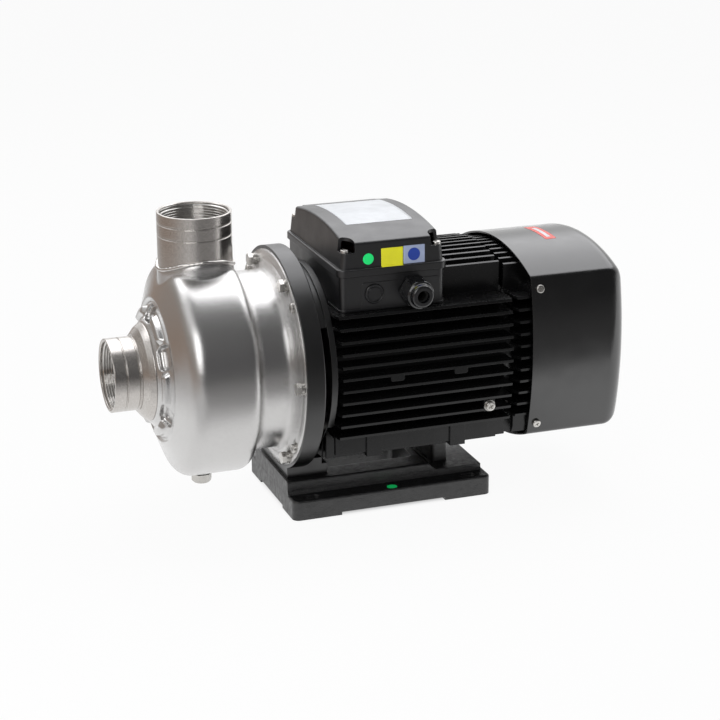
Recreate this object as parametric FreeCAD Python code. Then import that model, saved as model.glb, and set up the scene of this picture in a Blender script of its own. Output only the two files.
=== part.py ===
import FreeCAD, Part
import math
import os

# Close-coupled booster pump: a drawn stainless casing with threaded ports, a cast bracket,
# a finned motor and a cast base plate. Millimetres. +X runs along the shaft from the suction
# port to the fan, +Z is up, and the terminal box's cable gland faces -Y. The origin is the
# middle of the base plate's bolt holes, on the floor.

V = FreeCAD.Vector
X_AXIS = V(1, 0, 0)
Y_AXIS = V(0, 1, 0)
Z_AXIS = V(0, 0, 1)

# Main places
SHAFT_H = 132.5            # shaft centre above the floor
MOTOR_H = 102.0            # shaft centre above the base's machined pads
FLANGE_X = -92.0           # front face of the casing's flange
FIT = 0.1                  # gap of a seated fit inside one body
RUN = 0.04                 # radial gap of a running fit
CLEAR = 0.3                # gap between pieces that only pass each other

# Base plate
BASE_L = 189.0
BASE_W = 133.0
PAD_TOP = SHAFT_H - MOTOR_H    # machined pads that carry the bracket and the rear foot
LIP_H = PAD_TOP - 12.5
REAR_PAD_TOP = PAD_TOP - 7.0   # lower ground under the rear foot
RIDGE_W = BASE_W - 36.0        # raised middle
RIDGE_FOOT_W = RIDGE_W + 3.0   # the same where it meets the lip
RIDGE_END = BASE_L / 2.0 - 3.0
STEP_X = 131.5             # the raised middle slopes down to the rear pad from here
STEP_L = 8.0
BASE_CORNER_R = 6.0
BASE_SOLE_H = 2.8          # corner soles stand this far below the underside
SOLE_L = 45.0
SOLE_W = 34.0
WINDOW_X = 42.0            # front end of the opening through the base
WINDOW_L = 82.5
WINDOW_W = RIDGE_W - 45.0
BOLT_X = BASE_L - 39.0     # slot spacing along the base
BOLT_Y = BASE_W - 15.0     # slot spacing across the base
SLOT_W = 9.0
SLOT_L = 15.0
BOLT_GRIP = 11.0           # base metal over each upright bolt's head

# Casing
CASING_T = 2.5             # drawn sheet
DRUM_R = 95.6
DRUM_FRONT = -94.4         # where the front cone would meet the drum, from the flange face
DRUM_REAR = -36.5
DRUM_FRONT_ROUND = 13.0
DRUM_REAR_ROUND = 9.0
CONE_FOOT_X = -106.6       # inner end of the front cone
CONE_FOOT_R = 64.0
GROOVE_X = -103.8          # bottom of the pressed ring groove
GROOVE_R = 61.0
LOBE_X = -107.4            # outer shoulder of the raised lobes
LOBE_R = 58.2
LOBE_TOP_X = -113.0
LOBE_TOP_R = 47.5
NOSE_X = -116.0            # front of the drawn casing, behind the suction collar
NOSE_R = 44.2
NECK_R = 79.7              # cylinder behind the drum
NECK_FLARE = 5.0
BAND_R = 84.8              # raised band inside the bolt circle
BAND_H = 2.5
CASING_FLANGE_R = 97.4
CASING_FLANGE_T = 3.2
DIMPLES = 6
DIMPLE_FIRST = 29.5        # angle of the first pocket, up from the near side
DIMPLE_HALF_L = 7.6        # up the slope of the lobes
DIMPLE_HALF_W = 10.8
DIMPLE_DEPTH = 5.0
DIMPLE_CORNER_R = 5.2
DIMPLE_FLOOR_R = 2.4

# Ports: 2 inch parallel pipe thread
PORT_R = 32.5
PORT_BORE_R = 29.8
PORT_THREAD_L = 30.0
PORT_PASSAGE_R = 27.5
PORT_CHAMFER = 0.9
GROOVE_W = 1.8             # turned marking grooves on both port tubes
GROOVE_DEPTH = 0.7
SUCTION_FACE_X = -150.0
SUCTION_GROOVES = (11.0, 22.5)
COLLAR_FRONT_X = -126.0
COLLAR_MID_X = -121.5
COLLAR_MID_R = 40.0
COLLAR_R = 43.4
DISCHARGE_X = -67.9
DISCHARGE_TOP = 140.9      # rim above the shaft centre
DISCHARGE_GROOVES = (9.2, 20.0)
SEAM_TOP = 102.5           # weld seam at the sides of the port, above the shaft centre
SEAM_BOTTOM = 92.5         # the same at its front and back
STUB_R = 33.3              # drawn neck of the casing under the seam

# Drain
DRAIN_BOSS_R = 9.5
DRAIN_BOSS_H = 4.5
DRAIN_AF = 16.0
DRAIN_HEAD_H = 8.0
DRAIN_THREAD_R = 5.0
DRAIN_SEAL_T = 1.2

# Cover behind the impeller
COVER_T = 2.5
COVER_FACE_X = -44.0
COVER_R = 76.6
COVER_RIM_R = 88.2
SEAL_HOUSE_R = 21.0
SEAL_HOUSE_L = 20.0
SEAL_NECK_R = 11.5
O_RING_SECTION = 4.4
O_RING_LAND_R = 81.4

# Impeller
IMPELLER_R = 73.0
IMPELLER_PLATE_X = -48.5   # rear face of the back plate
IMPELLER_PLATE_T = 4.0
IMPELLER_HUB_R = 15.0
IMPELLER_EYE_X = -95.0
IMPELLER_TIP_X = -86.0
IMPELLER_VANES = 6
VANE_T = 3.2
VANE_INNER_R = 19.0
VANE_SWEEP = 62.0          # degrees that a vane trails from eye to rim

# Shaft
NUT_SEAT_R = 6.0
IMPELLER_SEAT_R = 7.0
SEAL_SEAT_R = 9.0
FRONT_BEARING_SEAT_R = 12.5
ROTOR_SEAT_R = 16.0
REAR_BEARING_SEAT_R = 10.0
FAN_SEAT_R = 9.0
SHAFT_NOSE_X = -103.0
SHAFT_TAIL_X = 282.0
KEY_W = 5.0

# Bearings
FRONT_BEARING_X = 21.0
FRONT_BEARING_W = 17.0
FRONT_BEARING_R = 31.0
REAR_BEARING_X = 203.0
REAR_BEARING_W = 14.0
REAR_BEARING_R = 23.5
BALLS = 8
RACE_SHARE = 0.26          # height of each race ring, as a share of the bearing's section
BALL_GAP = 0.08
CAGE_RAIL = 1.3            # width of the cage's side rails
CAGE_T = 1.6

# Bracket
DISC_X = 0.4
DISC_T = 16.7
DISC_R = 100.3
DISC_BORE_R = 70.0
BRIDGE_R = 83.0
BRIDGE_T = 6.0
BRIDGE_TOP_FROM = 33.0     # degrees above the horizontal
BRIDGE_LOW_FROM = 50.0     # degrees below the horizontal
SHIELD_X = 27.5
SHIELD_T = 5.4
SHIELD_R = 85.0
SHIELD_LOW = -46.0         # the shield's wide rim ends here, above the foot
SHIELD_LOW_R = 76.0
BRACKET_FOOT_W = 78.0
BRACKET_FOOT_END = 38.0
BRACKET_FOOT_TOP = 16.0 - MOTOR_H
BRACKET_TOE_TOP = 10.0 - MOTOR_H

# Motor frame
FRAME_X = 33.0
FRAME_END = 196.5
FRAME_CORE_R = 71.5
FRAME_BORE_R = 66.2
FIN_HALF_W = 87.6          # fin tips at shaft height
FIN_HALF_H = 90.2          # fin tips above the shaft
FIN_CORNER_Y = 77.4
FIN_CORNER_Z = 73.4
FIN_FORM = (FIN_HALF_W, FIN_HALF_H, FIN_CORNER_Y, FIN_CORNER_Z)
FIN_T = 2.4
SIDE_FINS = 10
SIDE_FIN_TOP = 45.0
SIDE_FIN_PITCH = 11.0
LEDGE_Z = 55.8
LEDGE_T = 2.6
TOP_FINS = 11
TOP_FIN_PITCH = 10.1
FIN_CHAMFER_X = 4.0
FIN_CHAMFER_Y = 13.0
SKIRT_Y = 77.0
SKIRT_T = 4.0
SKIRT_BOTTOM = -71.0
SKIRT_BOSS_W = 14.2
SKIRT_BOSS_X = (61.5, 140.5)
SKIRT_BOSS_DROP = 4.0
STUD_X = (86.8, 146.4)     # posts between the side fins
STUD_W = 12.4
STUD_DROP = 5.6
SPIGOT_L = 5.0
SPIGOT_T = 5.0
HOUSE_WALL = 5.0           # round both bearings
TIE_R = 71.0               # screw circle of both end shields
TIE_BOSS_R = 6.0

# Stator and rotor
STATOR_X = 62.0
STATOR_L = 110.0
STATOR_BORE_R = 40.0
AIR_GAP = 0.5
WINDING_OVERHANG = 19.0
WINDING_IN_R = 43.0
WINDING_OUT_R = 61.0

# Rear end shield, fan and cover
REAR_SHIELD_T = 6.0
REAR_SHIELD_FIN_X = 201.0
REAR_SHIELD_END = 229.0
REAR_FIN_CHAMFER_X = 6.5
REAR_FIN_GAP = 2.2         # between the end shield's fins and the fan cover
COVER_LUG_Z = 63.0
COVER_LUG_X = 223.3
COVER_LUG_R = 7.0
COVER_LUG_L = 40.0
FAN_X = 246.0
FAN_W = 30.0
FAN_R = 70.0
FAN_HUB_R = 15.0
FAN_BLADES = 8
FAN_BLADE_T = 2.6
HOOD_X = 215.4
HOOD_END = 309.5
HOOD_T = 1.6
HOOD_HALF_W = 88.0
HOOD_HALF_H = 90.8
HOOD_CORNER_Y = 78.8
HOOD_CORNER_Z = 73.7
HOOD_FORM = (HOOD_HALF_W, HOOD_HALF_H, HOOD_CORNER_Y, HOOD_CORNER_Z)
HOOD_EDGE_R = 5.3
HOOD_REAR_R = 17.0
HOOD_REAR_CORNER_R = 14.0  # corners of the rear face
HOOD_REAR_STEPS = 6
GRILLE_R = 62.0
GRILLE_SLOT_W = 5.5
GRILLE_PITCH = 11.0

# Terminal box
BOX_X = 40.0
BOX_L = 96.3
BOX_W = 144.0
BOX_BOTTOM = 57.3
BOX_SEAM = 88.2            # joint between base and lid, above the shaft centre
BOX_WALL = 3.5
BOX_CORNER_R = 5.0
BOX_FLOOR = 76.0
LID_RIM_OUT = 2.2
LID_RIM_H = 7.3
LID_TOP = 126.0
LID_EDGE_TOP = 117.7       # lid height at its long edges
LID_DRAFT = 3.0            # lean of the lid's ends
LID_SIDE_DRAFT = 1.0       # lean of its long sides
LID_EDGE_R = 2.5
LID_WALL = 3.0
LID_NOTCH_R = 7.6
LID_NOTCH_IN = 6.0         # screw centre in from the lid's corner, both ways
LID_LAND = 109.2
BOX_GASKET_T = 0.8
BOX_FOOT_OUT = 0.8         # rim round the foot of the box
PANEL_X = 59.0             # raised panel round the cable entries
PANEL_TOP = 82.2
PANEL_PROUD = 0.5
BOX_SCREW_X = 34.7          # box screws off the box's middle
BOX_SCREW_Y = 36.0
BLANK_X = 70.8
ENTRY_Z = 72.0
BLANK_R = 8.6
GLAND_X = 106.6
GLAND_AF = 24.0
GLAND_THREAD_R = 10.0
GLAND_FLANGE_L = 8.0
GLAND_NUT_L = 17.5
GLAND_NOSE_R = 9.8
GLAND_CABLE_R = 4.5
GLAND_BORE_R = 7.5

# Rear foot
FOOT_X = 142.5
FOOT_L = 15.5
FOOT_W = 62.0
FOOT_TOP = 12.6 - MOTOR_H  # underside of the frame's foot pad

# Fasteners
FLANGE_BOLTS = 6
FLANGE_BOLT_R = 91.3       # bolt circle radius
FLANGE_SCREW_ANGLES = (45.0, 135.0, 225.0, 315.0)
FLANGE_SCREW_R = 91.0
M6_R = 3.0
M6_AF = 10.0
M6_HEAD_H = 4.0
M6_WASHER_R = 5.5
M6_WASHER_T = 1.6
M6_SPRING_R = 5.0
M6_SPRING_T = 1.6
M5_R = 2.5
M5_HEAD_R = 4.4
M5_HEAD_H = 3.0
M4_R = 2.0
M4_HEAD_R = 3.8
M4_HEAD_H = 2.6
M8_R = 4.0
M8_AF = 13.0
M8_HEAD_H = 5.5
EARTH_X = 175.8
EARTH_Z = -39.5
EARTH_SINK = 4.0           # the earth screw's boss below the fin tips
EARTH_WASHER_R = 5.2


def at(dx):
    """Row X of a distance behind the casing's flange face."""
    return FLANGE_X + dx


def up(dz):
    """Row Z of a height above the shaft centre."""
    return SHAFT_H + dz


def rod(x0, x1, r):
    """Round bar on the shaft axis between two distances from the flange face."""
    return Part.makeCylinder(r, x1 - x0, V(at(x0), 0, SHAFT_H), X_AXIS)


def ring(x0, x1, r_out, r_in):
    """Tube on the shaft axis."""
    return rod(x0, x1, r_out).cut(rod(x0 - 1.0, x1 + 1.0, r_in))


def block(x0, x1, y0, y1, z0, z1):
    """Box by distances from the flange face, the mid plane and the shaft centre."""
    return Part.makeBox(x1 - x0, y1 - y0, z1 - z0, V(at(x0), y0, up(z0)))


def corner_points(before, here, after, radius):
    """Start, middle and end of the arc that rounds one corner of an outline."""
    to_before = (before - here).normalize()
    to_after = (after - here).normalize()
    half = to_before.getAngle(to_after) / 2.0
    reach = radius / math.tan(half)
    bisector = (to_before + to_after).normalize()
    centre = here + bisector * (radius / math.sin(half))
    return here + to_before * reach, centre - bisector * radius, here + to_after * reach


def outline(points, place):
    """Closed wire through (u, v, corner radius) points, laid out by place(u, v)."""
    corners = [place(u, v) for u, v, _ in points]
    count = len(points)
    stretches = []
    for i, (_, _, radius) in enumerate(points):
        here = corners[i]
        if radius > 0:
            before = corners[i - 1]
            after = corners[(i + 1) % count]
            stretches.append(corner_points(V(before), V(here), V(after), radius))
        else:
            stretches.append((here, None, here))
    edges = []
    for i, (start, middle, end) in enumerate(stretches):
        if middle is not None:
            edges.append(Part.Arc(start, middle, end).toShape())
        following = stretches[(i + 1) % count][0]
        if end.distanceToPoint(following) > 1e-6:
            edges.append(Part.LineSegment(end, following).toShape())
    return Part.Wire(edges)


def shaft_plane(x, r):
    return V(at(x), 0, up(r))


def turned(points):
    """Solid of revolution about the shaft from (x, r, corner radius) points."""
    face = Part.Face(outline(points, shaft_plane))
    return face.revolve(V(0, 0, SHAFT_H), X_AXIS, 360)


def plate_xy(points, z0, z1):
    """Prism along Z from (x, y, corner radius) points in row X."""
    face = Part.Face(outline(points, lambda x, y: V(x, y, z0)))
    return face.extrude(V(0, 0, z1 - z0))


def rectangle(x0, x1, y0, y1, r):
    return [(x0, y0, r), (x1, y0, r), (x1, y1, r), (x0, y1, r)]


def around(shape, angle):
    """Copy turned about the shaft, upwards from the near side."""
    copy = shape.copy()
    copy.rotate(V(0, 0, SHAFT_H), X_AXIS, -angle)
    return copy


def repeated(shape, count, first=0.0):
    """Copies of a near-side shape, evenly spaced about the shaft."""
    return [around(shape, first + 360.0 * i / count) for i in range(count)]


def mirrored(shape):
    """Copy on the far side of the mid plane."""
    return shape.mirror(V(0, 0, 0), Y_AXIS)


def hexagon(af, length, base, direction):
    """Hexagonal bar from a base point along a direction."""
    r = af / math.sqrt(3.0)
    ring_points = [V(r * math.cos(math.radians(60 * i)), r * math.sin(math.radians(60 * i)), 0)
                   for i in range(6)]
    bar = Part.Face(Part.makePolygon(ring_points + ring_points[:1])).extrude(V(0, 0, length))
    bar.Placement = FreeCAD.Placement(base, FreeCAD.Rotation(Z_AXIS, direction))
    return bar


def bulge_radius(half, corner, corner_across):
    """Radius of the shallow arc through a side's middle and its two corners."""
    sag = half - corner
    return (corner_across ** 2 + sag ** 2) / (2.0 * sag)


def bulged_corner(form, shrink):
    """Corner of a rounded-square outline of four shallow arcs, offset inwards by shrink."""
    half_w, half_h, corner_y, corner_z = form
    side_r = bulge_radius(half_w, corner_y, corner_z)
    top_r = bulge_radius(half_h, corner_z, corner_y)
    a = half_w - side_r
    b = half_h - top_r
    d = math.hypot(a, b)
    along = ((side_r - shrink) ** 2 - (top_r - shrink) ** 2 + d ** 2) / (2.0 * d)
    across = math.sqrt((side_r - shrink) ** 2 - along ** 2)
    return a - a * along / d - b * across / d, b * along / d - a * across / d


def bulged_prism(x0, x1, form, shrink=0.0):
    """Prism along the shaft with a rounded-square section of four shallow arcs."""
    y, z = bulged_corner(form, shrink)
    half_w = form[0] - shrink
    half_h = form[1] - shrink
    corners = [V(at(x0), -y, up(-z)), V(at(x0), y, up(-z)), V(at(x0), y, up(z)), V(at(x0), -y, up(z))]
    middles = [V(at(x0), 0, up(-half_h)), V(at(x0), half_w, SHAFT_H),
               V(at(x0), 0, up(half_h)), V(at(x0), -half_w, SHAFT_H)]
    edges = [Part.Arc(corners[i], middles[i], corners[(i + 1) % 4]).toShape() for i in range(4)]
    return Part.Face(Part.Wire(edges)).extrude(V(x1 - x0, 0, 0))


def base_plate():
    """Cast base: a lip with slots, a raised middle with a window and a lower pad at the rear."""
    half_l = BASE_L / 2.0
    half_w = BASE_W / 2.0
    lip = plate_xy(rectangle(-half_l, half_l, -half_w, half_w, BASE_CORNER_R), 0.0, LIP_H)
    lip = lip.makeFillet(2.0, [e for e in lip.Edges if e.BoundBox.ZMin > LIP_H - 0.01])
    foot = RIDGE_FOOT_W / 2.0
    top = RIDGE_W / 2.0
    profile = [(-foot, LIP_H - 1.0, 0), (foot, LIP_H - 1.0, 0), (foot, LIP_H + 0.5, 0),
               (top, LIP_H + 2.5, 3.0), (top, PAD_TOP, 2.0), (-top, PAD_TOP, 2.0),
               (-top, LIP_H + 2.5, 3.0), (-foot, LIP_H + 0.5, 0)]
    face = Part.Face(outline(profile, lambda y, z: V(-half_l, y, z)))
    ridge = face.extrude(V(RIDGE_END + half_l, 0, 0))
    window = plate_xy(rectangle(at(WINDOW_X), at(WINDOW_X) + WINDOW_L, -WINDOW_W / 2.0, WINDOW_W / 2.0, 5.0),
                      -1.0, PAD_TOP + 1.0)
    relief_x = Part.makeBox(BASE_L - 2 * SOLE_L, BASE_W + 2, BASE_SOLE_H,
                            V(-half_l + SOLE_L, -half_w - 1, 0))
    relief_y = Part.makeBox(BASE_L + 2, BASE_W - 2 * SOLE_W, BASE_SOLE_H,
                            V(-half_l - 1, -half_w + SOLE_W, 0))
    body = lip.fuse(ridge).cut([rear_step(), window, relief_x, relief_y])
    return body.cut(base_slots() + bracket_bolt_holes() + foot_bolt_holes()).removeSplitter()


def rear_step():
    """The space over the rear pad, with the slope that leads down to it."""
    ahead = at(STEP_X) - 1.0
    rise = (PAD_TOP - REAR_PAD_TOP) / STEP_L
    points = [V(ahead, 0, PAD_TOP + rise), V(at(STEP_X + STEP_L), 0, REAR_PAD_TOP),
              V(BASE_L, 0, REAR_PAD_TOP), V(BASE_L, 0, PAD_TOP + 5.0), V(ahead, 0, PAD_TOP + 5.0)]
    face = Part.Face(Part.makePolygon(points + points[:1]))
    space = face.extrude(V(0, BASE_W, 0))
    space.translate(V(0, -BASE_W / 2.0, 0))
    return space


def base_slots():
    slots = []
    straight = (SLOT_L - SLOT_W) / 2.0
    for sx in (-1, 1):
        for sy in (-1, 1):
            cx = sx * BOLT_X / 2.0
            cy = sy * BOLT_Y / 2.0
            r = SLOT_W / 2.0
            slots.append(plate_xy(rectangle(cx - straight - r, cx + straight + r,
                                            cy - r, cy + r, r - 0.001), -1.0, LIP_H + 1.0))
    return slots


def bracket_bolt_places():
    return [(at(BRACKET_FOOT_END / 2.0), side * BRACKET_FOOT_W / 3.2) for side in (-1, 1)]


def foot_bolt_places():
    return [(at(FOOT_X + FOOT_L / 2.0), side * FOOT_W / 3.0) for side in (-1, 1)]


def upright_bolt_holes(places, top):
    holes = []
    for x, y in places:
        holes.append(Part.makeCylinder(M8_R + CLEAR, PAD_TOP + 2, V(x, y, -1)))
        holes.append(Part.makeCylinder(M8_AF * 0.7, top - BOLT_GRIP + 1.0, V(x, y, -1)))
    return holes


def bracket_bolt_holes():
    return upright_bolt_holes(bracket_bolt_places(), PAD_TOP)


def foot_bolt_holes():
    return upright_bolt_holes(foot_bolt_places(), REAR_PAD_TOP)


def upright_bolts(places, top, reach):
    """Hex bolts from under a pad of the base, heads up inside their counterbores."""
    bolts = []
    seat = top - BOLT_GRIP
    for x, y in places:
        head = hexagon(M8_AF, M8_HEAD_H, V(x, y, seat - M8_HEAD_H), Z_AXIS)
        shank = Part.makeCylinder(M8_R, top + reach - seat, V(x, y, seat))
        bolts.append(head.fuse(shank))
    return bolts


def casing_points():
    """Outside of the drawn casing, from the nose to the back of the flange."""
    return [(NOSE_X, 0, 0), (NOSE_X, NOSE_R, 1.0), (LOBE_TOP_X, LOBE_TOP_R, 3.0),
            (LOBE_X, LOBE_R, 1.2), (GROOVE_X, GROOVE_R, 1.0), (CONE_FOOT_X, CONE_FOOT_R, 1.0),
            (DRUM_FRONT, DRUM_R, DRUM_FRONT_ROUND), (DRUM_REAR, DRUM_R, DRUM_REAR_ROUND),
            (DRUM_REAR, NECK_R, 3.0), (CASING_FLANGE_T, NECK_R, 0), (CASING_FLANGE_T, 0, 0)]


def casing_inside():
    """The space inside the drawn sheet."""
    wire = outline(casing_points(), shaft_plane)
    inner = wire.makeOffset2D(-CASING_T)
    solid = Part.Face(inner).revolve(V(0, 0, SHAFT_H), X_AXIS, 360)
    core = rod(NOSE_X + CASING_T, CASING_FLANGE_T + 1.0, NECK_R - CASING_T)
    behind = rod(DRUM_REAR, CASING_FLANGE_T + 1.0, NECK_R - CASING_T)
    front_core = rod(NOSE_X + CASING_T, 0.0, CASING_T + 1.0)
    return solid.fuse([behind, front_core.common(core)])


def dimple(grow):
    """One pressed pocket, square to the slope of the lobes, larger all round by grow."""
    along = V(LOBE_TOP_X - LOBE_X, LOBE_R - LOBE_TOP_R, 0).normalize()
    out = V(-along.y, along.x, 0)
    middle = near_point((LOBE_X + LOBE_TOP_X) / 2.0, (LOBE_R + LOBE_TOP_R) / 2.0)
    floor = middle - out * (DIMPLE_DEPTH + grow)
    corners = rectangle(-DIMPLE_HALF_L - grow, DIMPLE_HALF_L + grow,
                        -DIMPLE_HALF_W - grow, DIMPLE_HALF_W + grow, DIMPLE_CORNER_R + grow)
    place = lambda u, v: floor + along * u + Z_AXIS * v
    tool = Part.Face(outline(corners, place)).extrude(out * (DIMPLE_DEPTH + grow + 8.0))
    low = [e for e in tool.Edges if abs((e.CenterOfMass - floor).dot(out)) < 0.01]
    return tool.makeFillet(DIMPLE_FLOOR_R, low)


def seam_drum(reach):
    """Cylinder across the pump whose top is the saddle of the discharge weld seam."""
    rise = SEAM_TOP - SEAM_BOTTOM
    radius = (PORT_R ** 2 + rise ** 2) / (2.0 * rise)
    return Part.makeCylinder(radius, 2 * reach, V(at(DISCHARGE_X), -reach, up(SEAM_TOP) - radius), Y_AXIS)


def upright(r, z0, z1):
    """Round bar on the discharge axis between two heights above the shaft."""
    return Part.makeCylinder(r, z1 - z0, V(at(DISCHARGE_X), 0, up(z0)))


def volute_casing():
    """Deep-drawn casing: shell of revolution, pressed dimples, drawn neck and flange."""
    outer = turned(casing_points())
    inside = casing_inside()
    flange = turned([(-NECK_FLARE - BAND_H, NECK_R - 1.0, 0), (-NECK_FLARE - BAND_H, NECK_R, 0),
                     (-BAND_H, NECK_R, NECK_FLARE), (-BAND_H, BAND_R, 0.6), (0, BAND_R + 0.8, 0.4),
                     (0, CASING_FLANGE_R, 0.5), (CASING_FLANGE_T, CASING_FLANGE_R, 0),
                     (CASING_FLANGE_T, NECK_R - 1.0, 0)])
    stub = upright(STUB_R, 40.0, SEAM_TOP + 5.0).common(seam_drum(PORT_R * 2))
    body = outer.fuse(stub)
    shell = body.cut(inside)
    dimples = repeated(dimple(0.0), DIMPLES, DIMPLE_FIRST)
    bumps = [b.common(outer) for b in repeated(dimple(CASING_T), DIMPLES, DIMPLE_FIRST)]
    shell = shell.fuse(bumps + [flange, drain_boss()])
    passage = [upright(PORT_PASSAGE_R, 0.0, SEAM_TOP + 8.0), rod(NOSE_X - 1, NOSE_X + 8, PORT_R + FIT),
               ring_space(), drain_hole()]
    bolt_holes = flange_holes(M6_R + CLEAR, FLANGE_BOLT_R, flange_bolt_angles())
    screw_holes = flange_holes(M5_R + CLEAR, FLANGE_SCREW_R, FLANGE_SCREW_ANGLES)
    return shell.cut(dimples + passage + bolt_holes + screw_holes).removeSplitter()


def ring_space():
    """Seat of the O-ring at the mouth of the casing."""
    return rod(-1.5, CASING_FLANGE_T + 1.0, O_RING_LAND_R)


def flange_bolt_angles():
    return [360.0 * i / FLANGE_BOLTS for i in range(FLANGE_BOLTS)]


def near_point(x, r):
    """Point at the near side of the shaft, at a distance and a radius."""
    return V(at(x), -r, SHAFT_H)


def flange_holes(r, circle, angles):
    hole = Part.makeCylinder(r, 60.0, near_point(-30.0, circle), X_AXIS)
    return [around(hole, a) for a in angles]


def drain_point(z):
    return V(at(DISCHARGE_X), 0, up(z))


def drain_boss():
    boss = Part.makeCylinder(DRAIN_BOSS_R, DRAIN_BOSS_H + 4.0, drain_point(-DRUM_R - DRAIN_BOSS_H))
    return boss.cut(rod(DRUM_FRONT, DRUM_REAR, DRUM_R - CASING_T / 2.0))


def drain_hole():
    return Part.makeCylinder(DRAIN_THREAD_R + FIT, 20.0, drain_point(-DRUM_R - DRAIN_BOSS_H - 1.0))


def drain_plug():
    bottom = -DRUM_R - DRAIN_BOSS_H - DRAIN_SEAL_T
    head = hexagon(DRAIN_AF, DRAIN_HEAD_H, drain_point(bottom - DRAIN_HEAD_H), Z_AXIS)
    crown = Part.makeCone(DRAIN_AF * 0.46, DRAIN_AF * 0.46 + DRAIN_HEAD_H, DRAIN_HEAD_H,
                          drain_point(bottom - DRAIN_HEAD_H))
    shank = Part.makeCylinder(DRAIN_THREAD_R, DRAIN_BOSS_H + DRAIN_SEAL_T + 3.0, drain_point(bottom))
    return head.common(crown).fuse(shank)


def drain_gasket():
    low = drain_point(-DRUM_R - DRAIN_BOSS_H - DRAIN_SEAL_T)
    disc = Part.makeCylinder(DRAIN_BOSS_R - 1.0, DRAIN_SEAL_T, low)
    return disc.cut(Part.makeCylinder(DRAIN_THREAD_R + FIT, DRAIN_SEAL_T, low))


def suction_nozzle():
    """Turned suction fitting: threaded tube with a stepped collar that closes the casing."""
    face = SUCTION_FACE_X
    groove = GROOVE_W / 2.0
    points = [(face, PORT_BORE_R + PORT_CHAMFER, 0), (face, PORT_R - 0.4, 0), (face + 0.4, PORT_R, 0)]
    for g in SUCTION_GROOVES:
        points += [(face + g - groove, PORT_R, 0), (face + g - groove * 0.4, PORT_R - GROOVE_DEPTH, 0),
                   (face + g + groove * 0.4, PORT_R - GROOVE_DEPTH, 0), (face + g + groove, PORT_R, 0)]
    points += [(COLLAR_FRONT_X, PORT_R, 0), (COLLAR_FRONT_X, PORT_R + 2.0, 0.8),
               (COLLAR_MID_X, COLLAR_MID_R, 2.0), (COLLAR_MID_X + 2.0, COLLAR_MID_R + 1.5, 0.6),
               (NOSE_X - 0.8, COLLAR_R, 0.3), (NOSE_X, COLLAR_R, 0.3), (NOSE_X, PORT_R, 0),
               (NOSE_X + CASING_T + 3.0, PORT_R, 0), (NOSE_X + CASING_T + 3.0, PORT_PASSAGE_R, 1.0),
               (face + PORT_THREAD_L, PORT_PASSAGE_R, 0), (face + PORT_THREAD_L, PORT_BORE_R, 0),
               (face + PORT_CHAMFER, PORT_BORE_R, 0)]
    return turned(points)


def discharge_nozzle():
    """Turned discharge tube, its foot cut to the saddle of the weld seam."""
    top = DISCHARGE_TOP
    groove = GROOVE_W / 2.0
    thread_end = top - PORT_THREAD_L
    points = [(PORT_BORE_R, thread_end, 0), (PORT_PASSAGE_R, thread_end, 0),
              (PORT_PASSAGE_R, SEAM_BOTTOM - 20.0, 0), (PORT_R, SEAM_BOTTOM - 20.0, 0)]
    for g in reversed(DISCHARGE_GROOVES):
        points += [(PORT_R, top - g - groove, 0), (PORT_R - GROOVE_DEPTH, top - g - groove * 0.4, 0),
                   (PORT_R - GROOVE_DEPTH, top - g + groove * 0.4, 0), (PORT_R, top - g + groove, 0)]
    points += [(PORT_R, top - 0.4, 0), (PORT_R - 0.4, top, 0), (PORT_BORE_R + PORT_CHAMFER, top, 0),
               (PORT_BORE_R, top - PORT_CHAMFER, 0)]
    place = lambda r, z: V(at(DISCHARGE_X) + r, 0, up(z))
    tube = Part.Face(outline(points, place)).revolve(V(at(DISCHARGE_X), 0, 0), Z_AXIS, 360)
    return tube.cut(seam_drum(PORT_R * 2))


def casing_cover():
    """Dished cover behind the impeller, with the seal housing in its middle."""
    face = COVER_FACE_X
    rear = CASING_FLANGE_T
    house = face + SEAL_HOUSE_L
    t = COVER_T
    points = [(face, SEAL_HOUSE_R + t, 1.5), (face, COVER_R, 3.0), (rear, COVER_R, 0),
              (rear, COVER_RIM_R, 0), (rear + t, COVER_RIM_R, 0), (rear + t, COVER_R - t, 1.5),
              (face + t, COVER_R - t, 1.5), (face + t, SEAL_HOUSE_R + 2 * t, 1.0),
              (house + t, SEAL_HOUSE_R + 2 * t, 1.5), (house + t, SEAL_NECK_R, 0),
              (house, SEAL_NECK_R, 0), (house, SEAL_HOUSE_R + t, 1.0)]
    return turned(points)


def casing_o_ring():
    centre = V(at(CASING_FLANGE_T - O_RING_SECTION / 2.0 - 0.05), 0, SHAFT_H)
    r = O_RING_SECTION / 2.0
    return Part.makeTorus(COVER_R + r + 0.1, r, centre, X_AXIS)


def seal_seat():
    """Ceramic seat pressed into the rear of the seal housing."""
    x1 = COVER_FACE_X + SEAL_HOUSE_L
    return turned([(x1 - 7.0, SEAL_SEAT_R + 1.0, 0), (x1 - 7.0, 14.5, 0.5), (x1 - 3.0, 14.5, 0),
                   (x1 - 3.0, 17.5, 0.4), (x1, 17.5, 0), (x1, SEAL_SEAT_R + 1.0, 0)])


def seal_seat_cup():
    """Rubber cup that holds the ceramic seat in the housing."""
    x1 = COVER_FACE_X + SEAL_HOUSE_L
    out_r = SEAL_HOUSE_R + COVER_T
    return turned([(x1 - 6.0, 17.5, 0), (x1 - 6.0, out_r, 0.8), (x1, out_r, 1.2), (x1, 17.5, 0)])


def seal_head():
    """Turning carbon ring in its bellows, gripping the shaft."""
    front = IMPELLER_PLATE_X + 1.0
    face = COVER_FACE_X + SEAL_HOUSE_L - 7.0 - RUN
    grip = SEAL_SEAT_R + 0.02
    return turned([(front, grip, 0), (front, 13.0, 0), (front + 2.0, 13.0, 0), (front + 2.0, 11.5, 0),
                   (face - 7.0, 11.5, 0), (face - 7.0, 14.0, 0.5), (face, 14.0, 0.3), (face, grip, 0)])


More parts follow.
